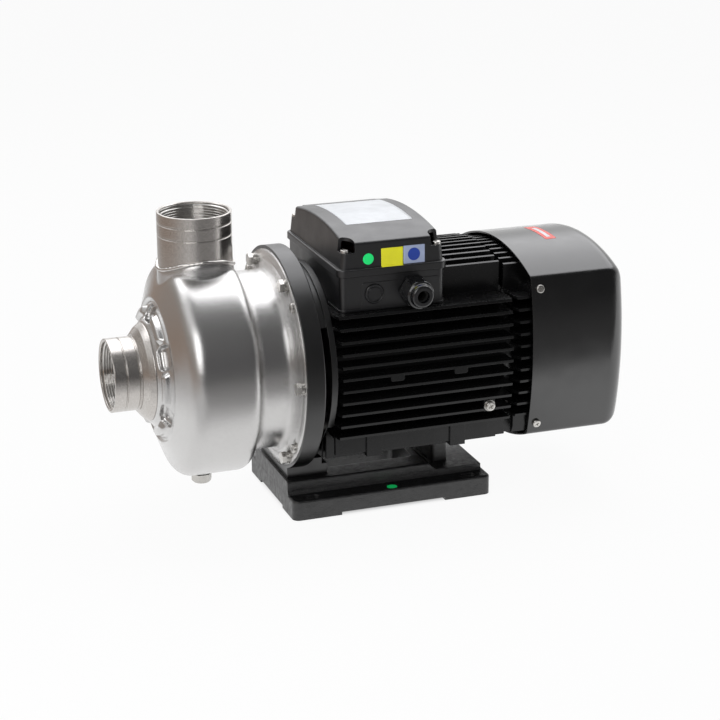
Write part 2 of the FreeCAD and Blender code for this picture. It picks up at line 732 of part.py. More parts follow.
def seal_spring():
    """Coil spring of the seal, drawn as four closed turns."""
    x0 = IMPELLER_PLATE_X + 4.2
    x1 = COVER_FACE_X + SEAL_HOUSE_L - 15.4
    turns = 4
    wire = 0.8
    pitch = (x1 - x0) / (turns - 1)
    return [ring(x0 + i * pitch - wire, x0 + i * pitch + wire, 11.6 + 2 * wire, 11.6) for i in range(turns)]


def vane_outline(i):
    """One backward-curved vane seen along the shaft, as a thin closed band."""
    steps = 6
    outer = []
    inner = []
    for k in range(steps + 1):
        s = k / steps
        r = VANE_INNER_R + (IMPELLER_R - VANE_INNER_R) * s
        a = math.radians(360.0 * i / IMPELLER_VANES + VANE_SWEEP * s ** 0.8)
        half = math.degrees(VANE_T / 2.0 / r)
        outer.append((r, a + math.radians(half)))
        inner.append((r, a - math.radians(half)))
    x = at(IMPELLER_EYE_X - 2.0)
    place = lambda r, a: V(x, -r * math.cos(a), SHAFT_H + r * math.sin(a))
    left = Part.BSplineCurve()
    left.interpolate([place(r, a) for r, a in outer])
    right = Part.BSplineCurve()
    right.interpolate([place(r, a) for r, a in inner])
    ends = [Part.LineSegment(left.EndPoint, right.EndPoint).toShape(),
            Part.LineSegment(right.StartPoint, left.StartPoint).toShape()]
    return Part.Wire(Part.sortEdges([left.toShape(), right.toShape()] + ends)[0])


def impeller():
    """Open impeller: hub, back plate and backward-curved vanes."""
    rear = IMPELLER_PLATE_X
    plate = rear - IMPELLER_PLATE_T
    body = turned([(IMPELLER_EYE_X + 6.0, 0, 0), (IMPELLER_EYE_X + 6.0, IMPELLER_HUB_R - 3.0, 2.0),
                   (plate, IMPELLER_HUB_R + 3.0, 6.0), (plate + 1.5, IMPELLER_R, 0),
                   (rear, IMPELLER_R, 0), (rear, 0, 0)])
    swept = turned([(IMPELLER_EYE_X, VANE_INNER_R - 4.0, 0), (IMPELLER_TIP_X, IMPELLER_R - 0.02, 0),
                    (rear - 1.0, IMPELLER_R - 0.02, 0), (rear - 1.0, VANE_INNER_R - 4.0, 0)])
    vanes = [Part.Face(vane_outline(i)).extrude(V(60.0, 0, 0)).common(swept)
             for i in range(IMPELLER_VANES)]
    body = body.fuse(vanes)
    bore = rod(IMPELLER_EYE_X - 2.0, rear + 1.0, IMPELLER_SEAT_R + 0.02)
    return body.cut([bore, key_bar(0.05)])


def key_bar(grow):
    """Impeller key, or its keyway when grown."""
    half = KEY_W / 2.0 + grow
    x0 = IMPELLER_EYE_X + 12.0 - grow
    return block(x0, IMPELLER_PLATE_X - 6.0 + grow, -half, half, 4.5 - grow, 9.5 + grow)


def impeller_nut():
    """Hexagon nut with a washer face on the shaft's nose."""
    seat = IMPELLER_EYE_X + 6.0
    nut = hexagon(17.0, 9.0, V(at(seat - 11.0), 0, SHAFT_H), X_AXIS)
    return nut.cut(rod(seat - 13.0, seat, NUT_SEAT_R + FIT))


def impeller_washer():
    seat = IMPELLER_EYE_X + 6.0
    return ring(seat - 2.0, seat, 11.0, NUT_SEAT_R + FIT)


def shaft():
    """Stepped shaft from the impeller nut to the fan."""
    hub = IMPELLER_EYE_X + 6.0
    front_end = FRONT_BEARING_X + FRONT_BEARING_W
    points = [(SHAFT_NOSE_X, 0, 0), (SHAFT_NOSE_X, NUT_SEAT_R - 1.0, 0), (SHAFT_NOSE_X + 1.0, NUT_SEAT_R, 0),
              (hub, NUT_SEAT_R, 0), (hub, IMPELLER_SEAT_R, 0), (IMPELLER_PLATE_X, IMPELLER_SEAT_R, 0),
              (IMPELLER_PLATE_X, SEAL_SEAT_R, 0), (FRONT_BEARING_X - 6.0, SEAL_SEAT_R, 0),
              (FRONT_BEARING_X - 6.0, FRONT_BEARING_SEAT_R, 0), (front_end, FRONT_BEARING_SEAT_R, 0),
              (front_end, ROTOR_SEAT_R, 0), (STATOR_X + STATOR_L + 8.0, ROTOR_SEAT_R, 0),
              (STATOR_X + STATOR_L + 8.0, 13.0, 0), (REAR_BEARING_X, 13.0, 0),
              (REAR_BEARING_X, REAR_BEARING_SEAT_R, 0),
              (REAR_BEARING_X + REAR_BEARING_W + 1.0, REAR_BEARING_SEAT_R, 0),
              (REAR_BEARING_X + REAR_BEARING_W + 1.0, FAN_SEAT_R, 0), (SHAFT_TAIL_X - 1.0, FAN_SEAT_R, 0),
              (SHAFT_TAIL_X, FAN_SEAT_R - 1.0, 0), (SHAFT_TAIL_X, 0, 0)]
    return turned(points).cut(key_bar(0.05))


def bearing_radii(bore_r, out_r):
    """Outside of the inner race and inside of the outer race."""
    section = out_r - bore_r
    return bore_r + section * RACE_SHARE, out_r - section * RACE_SHARE


def outer_race(x, width, bore_r, out_r):
    _, land = bearing_radii(bore_r, out_r)
    return ring(x, x + width, out_r, land)


def inner_race(x, width, bore_r, out_r):
    land, _ = bearing_radii(bore_r, out_r)
    return ring(x, x + width, land, bore_r + 0.02)


def ball(radius, centre):
    """Bearing ball with a few flat facets."""
    sides = 8
    bands = 4
    rows = []
    for b in range(1, bands):
        polar = math.pi * b / bands
        rows.append([centre + V(radius * math.sin(polar) * math.cos(2 * math.pi * i / sides),
                                radius * math.sin(polar) * math.sin(2 * math.pi * i / sides),
                                radius * math.cos(polar)) for i in range(sides)])
    top = centre + V(0, 0, radius)
    low = centre - V(0, 0, radius)
    faces = []
    for i in range(sides):
        j = (i + 1) % sides
        faces.append([top, rows[0][i], rows[0][j]])
        faces.append([low, rows[-1][j], rows[-1][i]])
        for upper, lower in zip(rows, rows[1:]):
            faces.append([upper[i], lower[i], lower[j], upper[j]])
    shells = [Part.Face(Part.makePolygon(f + f[:1])) for f in faces]
    return Part.Solid(Part.makeShell(shells))


def bearing_balls(x, width, bore_r, out_r):
    """Balls of one bearing, in the middle of its section."""
    land, roof = bearing_radii(bore_r, out_r)
    radius = (roof - land) / 2.0 - BALL_GAP
    pitch = (roof + land) / 2.0
    one = ball(radius, near_point(x + width / 2.0, pitch))
    return repeated(one, BALLS)


def bearing_cage(x, width, bore_r, out_r):
    """Band round the balls, with a round window for each."""
    land, roof = bearing_radii(bore_r, out_r)
    radius = (roof - land) / 2.0 - BALL_GAP
    pitch = (roof + land) / 2.0
    mid = x + width / 2.0
    half = radius + CAGE_RAIL
    band = ring(mid - half, mid + half, pitch + CAGE_T / 2, pitch - CAGE_T / 2)
    window = Part.makeCylinder(radius + 0.02, 2 * radius, near_point(mid, pitch + radius), Y_AXIS)
    return band.cut(repeated(window, BALLS))


def deflector():
    """Rubber slinger that keeps water off the front bearing."""
    x = FRONT_BEARING_X - 14.0
    grip = SEAL_SEAT_R + 0.02
    return turned([(x, grip, 0), (x, 14.0, 0.5), (x + 2.0, 21.0, 0.6), (x + 3.5, 21.0, 0.6),
                   (x + 5.0, 13.5, 1.0), (x + 6.5, 12.0, 0), (x + 6.5, grip, 0)])


def motor_bracket():
    """Cast bracket: register disc, bridges, front bearing shield and foot."""
    disc_end = DISC_X + DISC_T
    disc = ring(DISC_X, disc_end, DISC_R, DISC_BORE_R)
    disc = disc.makeFillet(1.5, [e for e in disc.Edges if e.BoundBox.ZMax > up(DISC_R) - 0.1
                                 and e.BoundBox.XMin > at(disc_end) - 0.1])
    shield = turned([(SHIELD_X, FRONT_BEARING_R - 1.0, 0), (SHIELD_X, SHIELD_R, 0),
                     (SHIELD_X + SHIELD_T, SHIELD_R, 0), (SHIELD_X + SHIELD_T, FRAME_BORE_R - FIT, 0),
                     (FRAME_X + SPIGOT_L, FRAME_BORE_R - FIT, 0.6),
                     (FRAME_X + SPIGOT_L, FRAME_BORE_R - 5.0, 0),
                     (SHIELD_X + SHIELD_T, FRAME_BORE_R - 5.0, 2.0),
                     (SHIELD_X + SHIELD_T, FRONT_BEARING_R + 5.0, 2.0),
                     (FRONT_BEARING_X + FRONT_BEARING_W, FRONT_BEARING_R + 5.0, 0.5),
                     (FRONT_BEARING_X + FRONT_BEARING_W, FRONT_BEARING_R - 1.0, 0)])
    hub = ring(FRONT_BEARING_X - 3.5, SHIELD_X + 1.0, FRONT_BEARING_R + 5.0, SEAL_SEAT_R + 7.0)
    tube = ring(disc_end - 1.0, SHIELD_X + 1.0, BRIDGE_R, BRIDGE_R - BRIDGE_T)
    half_foot = BRACKET_FOOT_W / 2
    foot = block(DISC_X, SHIELD_X + SHIELD_T, -half_foot, half_foot, -MOTOR_H, BRACKET_FOOT_TOP)
    toe = block(DISC_X, BRACKET_FOOT_END, -half_foot, half_foot, -MOTOR_H, BRACKET_TOE_TOP)
    web = block(DISC_X + 4.0, SHIELD_X + SHIELD_T, -BRACKET_FOOT_W / 2 + 6, BRACKET_FOOT_W / 2 - 6,
                BRACKET_FOOT_TOP - 1.0, -BRIDGE_R + BRIDGE_T)
    low_rim = block(SHIELD_X - 1.0, SHIELD_X + SHIELD_T, -SHIELD_R, SHIELD_R, -SHIELD_R, SHIELD_LOW)
    shield = shield.cut(low_rim.cut(rod(SHIELD_X - 2.0, SHIELD_X + 20.0, SHIELD_LOW_R)))
    web = web.cut(rod(-5, 60, BRIDGE_R - 1.0))
    body = disc.fuse([shield, hub, tube.cut(bridge_windows()), foot, toe, web])
    register = [rod(DISC_X - 60.0, CASING_FLANGE_T, CASING_FLANGE_R + FIT),
                rod(DISC_X - 60.0, CASING_FLANGE_T + COVER_T, COVER_RIM_R + FIT),
                rod(FRONT_BEARING_X, FRONT_BEARING_X + FRONT_BEARING_W + 1.0, FRONT_BEARING_R + 0.02),
                rod(FRONT_BEARING_X - 6.0, FRONT_BEARING_X + 1.0, SEAL_SEAT_R + 5.0)]
    threads = flange_holes(M6_R, FLANGE_BOLT_R, flange_bolt_angles())
    threads += flange_holes(M5_R, FLANGE_SCREW_R, FLANGE_SCREW_ANGLES)
    limit = rod(-60.0, disc_end - 3.0, DISC_R)
    threads = [t.common(limit) for t in threads]
    bolts = [Part.makeCylinder(M8_R, 13.0, V(x, y, PAD_TOP - 1.0)) for x, y in bracket_bolt_places()]
    ties = [around(Part.makeCylinder(M6_R + CLEAR, 20.0, near_point(SHIELD_X - 5.0, TIE_R), X_AXIS), a)
            for a in tie_angles()]
    return body.cut(register + threads + bolts + ties).removeSplitter()


def tie_angles():
    return [45.0, 135.0, 225.0, 315.0]


def bridge_windows():
    """Side openings between the register disc and the bearing shield."""
    x0 = at(DISC_X + DISC_T)
    reach = DISC_R * 2
    wedges = []
    for side in (-1, 1):
        high = math.tan(math.radians(BRIDGE_TOP_FROM)) * reach
        low = math.tan(math.radians(BRIDGE_LOW_FROM)) * reach
        points = [V(x0, 0, SHAFT_H), V(x0, side * reach, SHAFT_H + high),
                  V(x0, side * reach, SHAFT_H - low), V(x0, 0, SHAFT_H)]
        wedges.append(Part.Face(Part.makePolygon(points)).extrude(V(SHIELD_X - DISC_X - DISC_T, 0, 0)))
    return wedges


def side_fin_heights():
    return [SIDE_FIN_TOP - SIDE_FIN_PITCH * i for i in range(SIDE_FINS)]


def top_fin_places():
    middle = (TOP_FINS - 1) / 2.0
    return [(i - middle) * TOP_FIN_PITCH for i in range(TOP_FINS)]


def fin_plates(x0, x1):
    """Flat plates of every fin, before they are trimmed to the outline."""
    reach = FIN_HALF_H + 5.0
    plates = [block(x0, x1, -reach, reach, z - FIN_T / 2, z + FIN_T / 2) for z in side_fin_heights()]
    plates.append(block(x0, x1, -reach, reach, LEDGE_Z - LEDGE_T / 2, LEDGE_Z + LEDGE_T / 2))
    for y in top_fin_places():
        plates.append(block(x0, x1, y - FIN_T / 2, y + FIN_T / 2, LEDGE_Z, reach))
        plates.append(block(x0, x1, y - FIN_T / 2, y + FIN_T / 2, -reach, SKIRT_BOTTOM + 20.0))
    return plates


def fin_limit(prism, x0, lead):
    """Fin tip outline, with the front ends of the side fins cut back towards their tips."""
    root = FIN_HALF_W - FIN_CHAMFER_Y
    reach = FIN_HALF_W + FIN_CHAMFER_Y
    wedges = []
    for side in (-1, 1):
        points = [V(at(x0), side * root, up(-reach)), V(at(x0), side * reach, up(-reach)),
                  V(at(x0 + lead * 2), side * reach, up(-reach)), V(at(x0), side * root, up(-reach))]
        wedges.append(Part.Face(Part.makePolygon(points)).extrude(V(0, 0, 2 * reach)))
    return prism.cut(wedges)


def box_seat():
    """Raised seat of the terminal box on top of the frame."""
    half = BOX_W / 2.0 - BOX_WALL - 12.0
    return block(BOX_X + BOX_WALL + 2.0, BOX_X + BOX_L - BOX_WALL - 2.0, -half, half, 0.0, BOX_FLOOR)


def skirts(x0, x1):
    """Flat side panels below the lowest fin."""
    low = min(side_fin_heights())
    panels = []
    for side in (-1, 1):
        y = sorted((side * (SKIRT_Y - SKIRT_T), side * SKIRT_Y))
        panels.append(block(x0, x1, y[0], y[1], SKIRT_BOTTOM, low))
        y = sorted((side * 60.0, side * SKIRT_Y))
        panels.append(block(x0, x1, y[0], y[1], low - FIN_T, low))
    return panels


def skirt_bosses():
    low = min(side_fin_heights())
    bosses = []
    for x in SKIRT_BOSS_X:
        for side in (-1, 1):
            y = sorted((side * (SKIRT_Y - 9.0), side * (SKIRT_Y + 2.0)))
            bosses.append(block(x, x + SKIRT_BOSS_W, y[0], y[1], SKIRT_BOTTOM - SKIRT_BOSS_DROP, low))
    return bosses


def tie_bosses(x0, x1):
    boss = Part.makeCylinder(TIE_BOSS_R, x1 - x0, near_point(x0, TIE_R), X_AXIS)
    return [around(boss, a) for a in tie_angles()]


def fin_studs():
    """Two flat-ended posts under the tip of a middle fin, on each side."""
    z = up(side_fin_heights()[4])
    studs = []
    for x in STUD_X:
        corners = rectangle(at(x) - STUD_W / 2.0, at(x) + STUD_W / 2.0, z - STUD_DROP, z + FIN_T / 2.0, 1.8)
        post = Part.Face(outline(corners, lambda u, v: V(u, 0, v))).extrude(V(0, -FIN_HALF_W - 0.4, 0))
        studs += [post, mirrored(post)]
    return studs


def earth_boss():
    return block(EARTH_X - 5.2, EARTH_X + 5.2, -FIN_HALF_W + EARTH_SINK, -FRAME_CORE_R + 12.0,
                 EARTH_Z - 5.2, EARTH_Z + 5.2)


def motor_frame():
    """Finned aluminium frame: core tube, fins, terminal box seat, skirts and foot pad."""
    limit = fin_limit(bulged_prism(FRAME_X, FRAME_END, FIN_FORM), FRAME_X, FIN_CHAMFER_X)
    plates = fin_plates(FRAME_X, FRAME_END)
    trimmed = [p.common(limit) for p in plates]
    under_box = block(FRAME_X - 1.0, BOX_X + BOX_L + BOX_FOOT_OUT + CLEAR, -95, 95, BOX_BOTTOM - 0.2, 120.0)
    under_lid = block(BOX_X, BOX_X + BOX_L + LID_RIM_OUT + CLEAR, -95, 95, BOX_SEAM - 1.0, 120.0)
    foot_room = block(FOOT_X - CLEAR, FOOT_X + FOOT_L + CLEAR, -FOOT_W / 2 - CLEAR, FOOT_W / 2 + CLEAR,
                      -120.0, FOOT_TOP)
    trimmed = [t.cut([under_box, under_lid, foot_room]) for t in trimmed]
    core = rod(FRAME_X, FRAME_END, FRAME_CORE_R)
    pad = block(FOOT_X - 6.0, FOOT_X + FOOT_L + 6.0, -FOOT_W / 2, FOOT_W / 2, FOOT_TOP, -50.0)
    body = core.fuse(trimmed + [box_seat(), pad] + skirts(FRAME_X, FRAME_END - 3.0) + skirt_bosses()
                     + tie_bosses(FRAME_X, FRAME_END) + fin_studs() + [earth_boss()])
    holes = [rod(FRAME_X - 1.0, FRAME_END + 1.0, FRAME_BORE_R)]
    for a in tie_angles():
        holes.append(around(Part.makeCylinder(M6_R, 14.0, near_point(FRAME_X - 1.0, TIE_R), X_AXIS), a))
        holes.append(around(Part.makeCylinder(M6_R, 16.0, near_point(FRAME_END - 15.0, TIE_R), X_AXIS), a))
    outside = V(at(EARTH_X), -FIN_HALF_W - 1.0, up(EARTH_Z))
    holes.append(Part.makeCylinder(M5_R, 14.0, outside, Y_AXIS))
    holes.append(Part.makeCylinder(EARTH_WASHER_R + 0.8, EARTH_SINK + 1.0, outside, Y_AXIS))
    holes += [Part.makeCylinder(M8_R, 10.0, V(x, y, up(FOOT_TOP) - 1.0)) for x, y in foot_bolt_places()]
    holes += [Part.makeCylinder(8.0, 30.0, V(at(BOX_X + BOX_L / 2.0), 0, up(BOX_FLOOR) - 20.0))]
    return body.cut(holes + box_screw_holes()).removeSplitter()


def box_middle():
    return BOX_X + BOX_L / 2.0


def box_screw_places():
    return [(at(box_middle() + sx * BOX_SCREW_X), sy * BOX_SCREW_Y) for sx in (-1, 1) for sy in (-1, 1)]


def box_screw_holes():
    return [Part.makeCylinder(M4_R, 9.0, V(x, y, up(BOX_FLOOR) - 8.0)) for x, y in box_screw_places()]


def stator_core():
    return ring(STATOR_X, STATOR_X + STATOR_L, FRAME_BORE_R - FIT, STATOR_BORE_R)


def stator_winding():
    """Two round bundles of end turns, one at each end of the core."""
    out = []
    for x0, x1 in ((STATOR_X - WINDING_OVERHANG, STATOR_X),
                   (STATOR_X + STATOR_L, STATOR_X + STATOR_L + WINDING_OVERHANG)):
        out.append(turned([(x0, WINDING_IN_R, 3.0), (x0, WINDING_OUT_R, 5.0), (x1, WINDING_OUT_R, 0),
                           (x1, WINDING_IN_R, 0)]))
    return out


def rotor_core():
    """Cast cage rotor with short end rings."""
    x0 = STATOR_X
    x1 = STATOR_X + STATOR_L
    r = STATOR_BORE_R - AIR_GAP
    return turned([(x0 - 8.0, ROTOR_SEAT_R + 8.0, 0), (x0 - 8.0, r - 3.0, 1.0), (x0, r - 3.0, 0), (x0, r, 0),
                   (x1, r, 0), (x1, r - 3.0, 0), (x1 + 8.0, r - 3.0, 1.0), (x1 + 8.0, ROTOR_SEAT_R + 8.0, 0),
                   (x1, ROTOR_SEAT_R + 8.0, 0), (x1, ROTOR_SEAT_R + 0.02, 0),
                   (x0, ROTOR_SEAT_R + 0.02, 0), (x0, ROTOR_SEAT_R + 8.0, 0)])


def rear_endshield_plate():
    """Bearing plate with its spigot into the frame and its bearing housing."""
    x0 = FRAME_END
    back = x0 + REAR_SHIELD_T
    spigot = FRAME_BORE_R - FIT
    house = REAR_BEARING_R + HOUSE_WALL
    seat = REAR_BEARING_X + REAR_BEARING_W
    points = [(x0, REAR_BEARING_R - 1.0, 0), (x0, FRAME_BORE_R - SPIGOT_T, 0),
              (x0 - SPIGOT_L, FRAME_BORE_R - SPIGOT_T, 0), (x0 - SPIGOT_L, spigot, 0.6),
              (x0, spigot, 0), (x0, FRAME_CORE_R, 0), (back, FRAME_CORE_R, 1.0), (back, house, 3.0),
              (seat + 3.0, house, 1.0), (seat + 3.0, REAR_BEARING_R - 6.0, 0),
              (seat, REAR_BEARING_R - 6.0, 0), (seat, REAR_BEARING_R - 1.0, 0)]
    return turned(points)


def rear_endshield():
    """Rear bearing shield with a short run of the same fins and the cover's lugs."""
    x0 = FRAME_END
    back = x0 + REAR_SHIELD_T
    room = rod(back - 0.1, REAR_SHIELD_END + 1.0, FRAME_CORE_R - 9.0)
    tips = bulged_prism(REAR_SHIELD_FIN_X, REAR_SHIELD_END, HOOD_FORM, HOOD_T + REAR_FIN_GAP)
    limit = fin_limit(tips, REAR_SHIELD_FIN_X, REAR_FIN_CHAMFER_X)
    plates = fin_plates(REAR_SHIELD_FIN_X, REAR_SHIELD_END) + skirts(REAR_SHIELD_FIN_X, REAR_SHIELD_END)
    fins = [p.common(limit).cut(room) for p in plates]
    drum = ring(back - 1.0, REAR_SHIELD_END, FRAME_CORE_R - 4.0, FRAME_CORE_R - 9.0)
    body = rear_endshield_plate().fuse(fins + [drum] + cover_lugs() + tie_bosses(x0, back))
    bearing = rod(REAR_BEARING_X - 8.0, REAR_BEARING_X + REAR_BEARING_W, REAR_BEARING_R + 0.02)
    ties = [around(Part.makeCylinder(M6_R + CLEAR, 40.0, near_point(x0 - 1.0, TIE_R), X_AXIS), a)
            for a in tie_angles()]
    heads = [around(Part.makeCylinder(M6_AF * 0.62, 30.0, near_point(back, TIE_R), X_AXIS), a)
             for a in tie_angles()]
    return body.cut([bearing] + ties + heads + cover_screw_bars(M4_R, 14.0))


def cover_screw_frames():
    """Point on the fan cover's side and outward direction of each of its screws."""
    radius = bulge_radius(HOOD_HALF_W, HOOD_CORNER_Y, HOOD_CORNER_Z)
    frames = []
    for z in (-COVER_LUG_Z, COVER_LUG_Z):
        lean = math.asin(z / radius)
        y = HOOD_HALF_W - radius + radius * math.cos(lean)
        for side in (-1, 1):
            frames.append((V(at(COVER_LUG_X), side * y, up(z)), V(0, side * math.cos(lean), math.sin(lean))))
    return frames


def cover_lugs():
    """Round lugs at the sides that the fan cover is screwed to."""
    seat = HOOD_T + FIT
    return [Part.makeCylinder(COVER_LUG_R, COVER_LUG_L, point - out * (seat + COVER_LUG_L), out)
            for point, out in cover_screw_frames()]


def cover_screw_bars(r, depth):
    frames = cover_screw_frames()
    return [Part.makeCylinder(r, depth + 1.0, point - out * depth, out) for point, out in frames]


def cover_screws():
    """Round-headed screws through the sides of the fan cover."""
    screws = []
    for point, out in cover_screw_frames():
        seat = point + out * 0.05
        head = Part.makeCylinder(M4_HEAD_R, M4_HEAD_H, seat, out)
        rim = [e for e in head.Edges if e.CenterOfMass.distanceToPoint(seat + out * M4_HEAD_H) < 0.1]
        shank = Part.makeCylinder(M4_R - 0.05, 10.0, seat - out * 10.0, out)
        screws.append(head.makeFillet(1.2, rim).fuse(shank))
    return screws


def hood_section(x, shrink, corner_r):
    """Outline of the fan cover across the shaft, offset inwards, with rounded corners."""
    slab = bulged_prism(x, x + 1.0, HOOD_FORM, shrink)
    long_edges = [e for e in slab.Edges if e.BoundBox.XLength > 0.5 and e.BoundBox.YLength < 0.1]
    slab = slab.makeFillet(corner_r, long_edges)
    return [f for f in slab.Faces if f.BoundBox.XMax < at(x) + 0.01][0]


def hood_solid(x0, shrink):
    """Outer or inner form of the fan cover: a straight run with a rounded rear end."""
    end = HOOD_END - shrink
    r = HOOD_REAR_R - shrink
    edge_r = HOOD_EDGE_R - shrink
    straight = hood_section(x0, shrink, edge_r).extrude(V(end - r - x0, 0, 0))
    sections = []
    for i in range(HOOD_REAR_STEPS + 1):
        turn = math.radians(90.0 * i / HOOD_REAR_STEPS)
        inset = r * (1.0 - math.cos(turn))
        corner_r = edge_r + (HOOD_REAR_CORNER_R - HOOD_EDGE_R) * i / HOOD_REAR_STEPS
        sections.append(hood_section(end - r + r * math.sin(turn), shrink + inset, corner_r).OuterWire)
    return straight.fuse(Part.makeLoft(sections, True)).removeSplitter()


def grille_slots():
    """Rows of round-ended slots in the rear face, inside one circle."""
    slots = []
    rows = int(GRILLE_R // GRILLE_PITCH)
    for i in range(-rows, rows + 1):
        z = i * GRILLE_PITCH
        half = math.sqrt(GRILLE_R ** 2 - z ** 2) - 4.0
        r = GRILLE_SLOT_W / 2.0
        for y0, y1 in ((-half, -3.0), (3.0, half)):
            points = rectangle(y0, y1, z - r, z + r, r - 0.001)
            face = Part.Face(outline(points, lambda y, zz: V(at(HOOD_END - 8.0), y, up(zz))))
            slots.append(face.extrude(V(16.0, 0, 0)))
    return slots


def fan_cover():
    shell = hood_solid(HOOD_X, 0.0).cut(hood_solid(HOOD_X - 5.0, HOOD_T))
    return shell.cut(grille_slots() + cover_screw_bars(M4_R + CLEAR, 6.0))


def cooling_fan():
    """Radial fan with straight blades on a round back plate."""
    hub = ring(FAN_X, FAN_X + FAN_W - 4.0, FAN_HUB_R, FAN_SEAT_R + 0.02)
    plate = ring(FAN_X, FAN_X + 2.5, FAN_R - 6.0, FAN_HUB_R - 1.0)
    blade = block(FAN_X + 1.0, FAN_X + FAN_W, -FAN_R, -FAN_HUB_R + 2.0, -FAN_BLADE_T / 2, FAN_BLADE_T / 2)
    trim = turned([(FAN_X, FAN_HUB_R - 1.0, 0), (FAN_X, FAN_R, 0), (FAN_X + FAN_W * 0.6, FAN_R, 8.0),
                   (FAN_X + FAN_W, FAN_R * 0.55, 0), (FAN_X + FAN_W, FAN_HUB_R - 1.0, 0)])
    return plate.fuse([hub] + [b.common(trim) for b in repeated(blade, FAN_BLADES)])


def fan_clip():
    """Retaining ring behind the fan hub."""
    x = FAN_X + FAN_W - 4.0 + 0.1
    clip = ring(x, x + 1.2, FAN_SEAT_R + 3.5, FAN_SEAT_R + 0.02)
    return clip.cut(block(x - 1, x + 3, -3.0, 3.0, 0.0, 20.0))


def lid_notch_places(inset):
    xs = (BOX_X + inset, BOX_X + BOX_L - inset)
    ys = (-BOX_W / 2.0 + inset, BOX_W / 2.0 - inset)
    return [(at(x), y) for x in xs for y in ys]


def terminal_box_base():
    """Open box on the frame: walls, floor and the corner posts of the lid screws."""
    x0 = at(BOX_X)
    x1 = at(BOX_X + BOX_L)
    half = BOX_W / 2.0
    outer = plate_xy(rectangle(x0, x1, -half, half, BOX_CORNER_R), up(BOX_BOTTOM), up(BOX_SEAM))
    room = plate_xy(rectangle(x0 + BOX_WALL, x1 - BOX_WALL, -half + BOX_WALL, half - BOX_WALL, 2.0),
                    up(BOX_FLOOR + BOX_WALL), up(BOX_SEAM) + 1.0)
    below = plate_xy(rectangle(x0 + BOX_WALL, x1 - BOX_WALL, -half + BOX_WALL, half - BOX_WALL, 2.0),
                     up(BOX_BOTTOM) - 1.0, up(BOX_FLOOR))
    under = block(BOX_X - 1.0, BOX_X + BOX_L + 1.0, -half - 1, half + 1, 0.0, BOX_SEAM)
    frame_side = rod(BOX_X - 2.0, BOX_X + BOX_L + 2.0, FRAME_CORE_R + FIT).common(under)
    posts = [Part.makeCylinder(M4_R + 3.0, BOX_SEAM - BOX_BOTTOM - 6.0, V(x, y, up(BOX_BOTTOM) + 6.0))
             for x, y in lid_notch_places(LID_NOTCH_IN)]
    body = outer.cut([room, below]).fuse(posts).common(outer)
    out = BOX_FOOT_OUT
    rim = plate_xy(rectangle(x0 - out, x1 + out, -half - out, half + out, BOX_CORNER_R + out),
                   up(BOX_BOTTOM), up(BOX_BOTTOM) + 1.8)
    body = body.fuse([rim.cut(below), entry_panel()])
    corners = lid_notch_places(LID_NOTCH_IN)
    holes = [Part.makeCylinder(M4_R, 20.0, V(x, y, up(BOX_SEAM) - 19.0)) for x, y in corners]
    low = up(BOX_FLOOR) - 1.0
    holes += [Part.makeCylinder(M4_R + CLEAR, 20.0, V(x, y, low)) for x, y in box_screw_places()]
    holes += [Part.makeCylinder(12.0, 20.0, V((x0 + x1) / 2.0, 0, up(BOX_FLOOR) - 1.0))]
    holes += [entry_bar(GLAND_X, GLAND_THREAD_R + FIT), entry_bar(BLANK_X, BLANK_R - 2.0)]
    return body.cut([frame_side] + holes).removeSplitter()


def entry_panel():
    """Slightly raised panel round both cable entries."""
    corners = rectangle(at(PANEL_X), at(BOX_X + BOX_L) - BOX_CORNER_R, up(BOX_BOTTOM), up(PANEL_TOP), 3.0)
    face = Part.Face(outline(corners, lambda u, v: V(u, -BOX_W / 2.0 - PANEL_PROUD, v)))
    rooms = [entry_bar(BLANK_X, BLANK_R + CLEAR), entry_bar(GLAND_X, GLAND_AF / 2.0 + CLEAR)]
    return face.extrude(V(0, PANEL_PROUD + 1.0, 0)).cut(rooms)


def entry_bar(x, r):
    """Round bar through the near wall of the terminal box."""
    return Part.makeCylinder(r, 14.0, V(at(x), -BOX_W / 2.0 - 3.0, up(ENTRY_Z)), Y_AXIS)


def box_screws():
    """Pan head screws that hold the box to the frame."""
    out = []
    for x, y in box_screw_places():
        top = up(BOX_FLOOR + BOX_WALL)
        out.append(Part.makeCylinder(M4_HEAD_R, M4_HEAD_H, V(x, y, top))
                   .fuse(Part.makeCylinder(M4_R - 0.05, 10.0, V(x, y, top - 10.0))))
    return out


def box_gasket():
    x0 = at(BOX_X)
    x1 = at(BOX_X + BOX_L)
    half = BOX_W / 2.0
    z0 = up(BOX_SEAM)
    outer = plate_xy(rectangle(x0 + 0.5, x1 - 0.5, -half + 0.5, half - 0.5, BOX_CORNER_R - 0.5),
                     z0, z0 + BOX_GASKET_T)
    inner = plate_xy(rectangle(x0 + BOX_WALL, x1 - BOX_WALL, -half + BOX_WALL, half - BOX_WALL, 2.0),
                     z0 - 1.0, z0 + 2.0)
    corners = lid_notch_places(LID_NOTCH_IN)
    holes = [Part.makeCylinder(M4_R + CLEAR, 4.0, V(x, y, z0 - 1.0)) for x, y in corners]
    return outer.cut([inner] + holes)


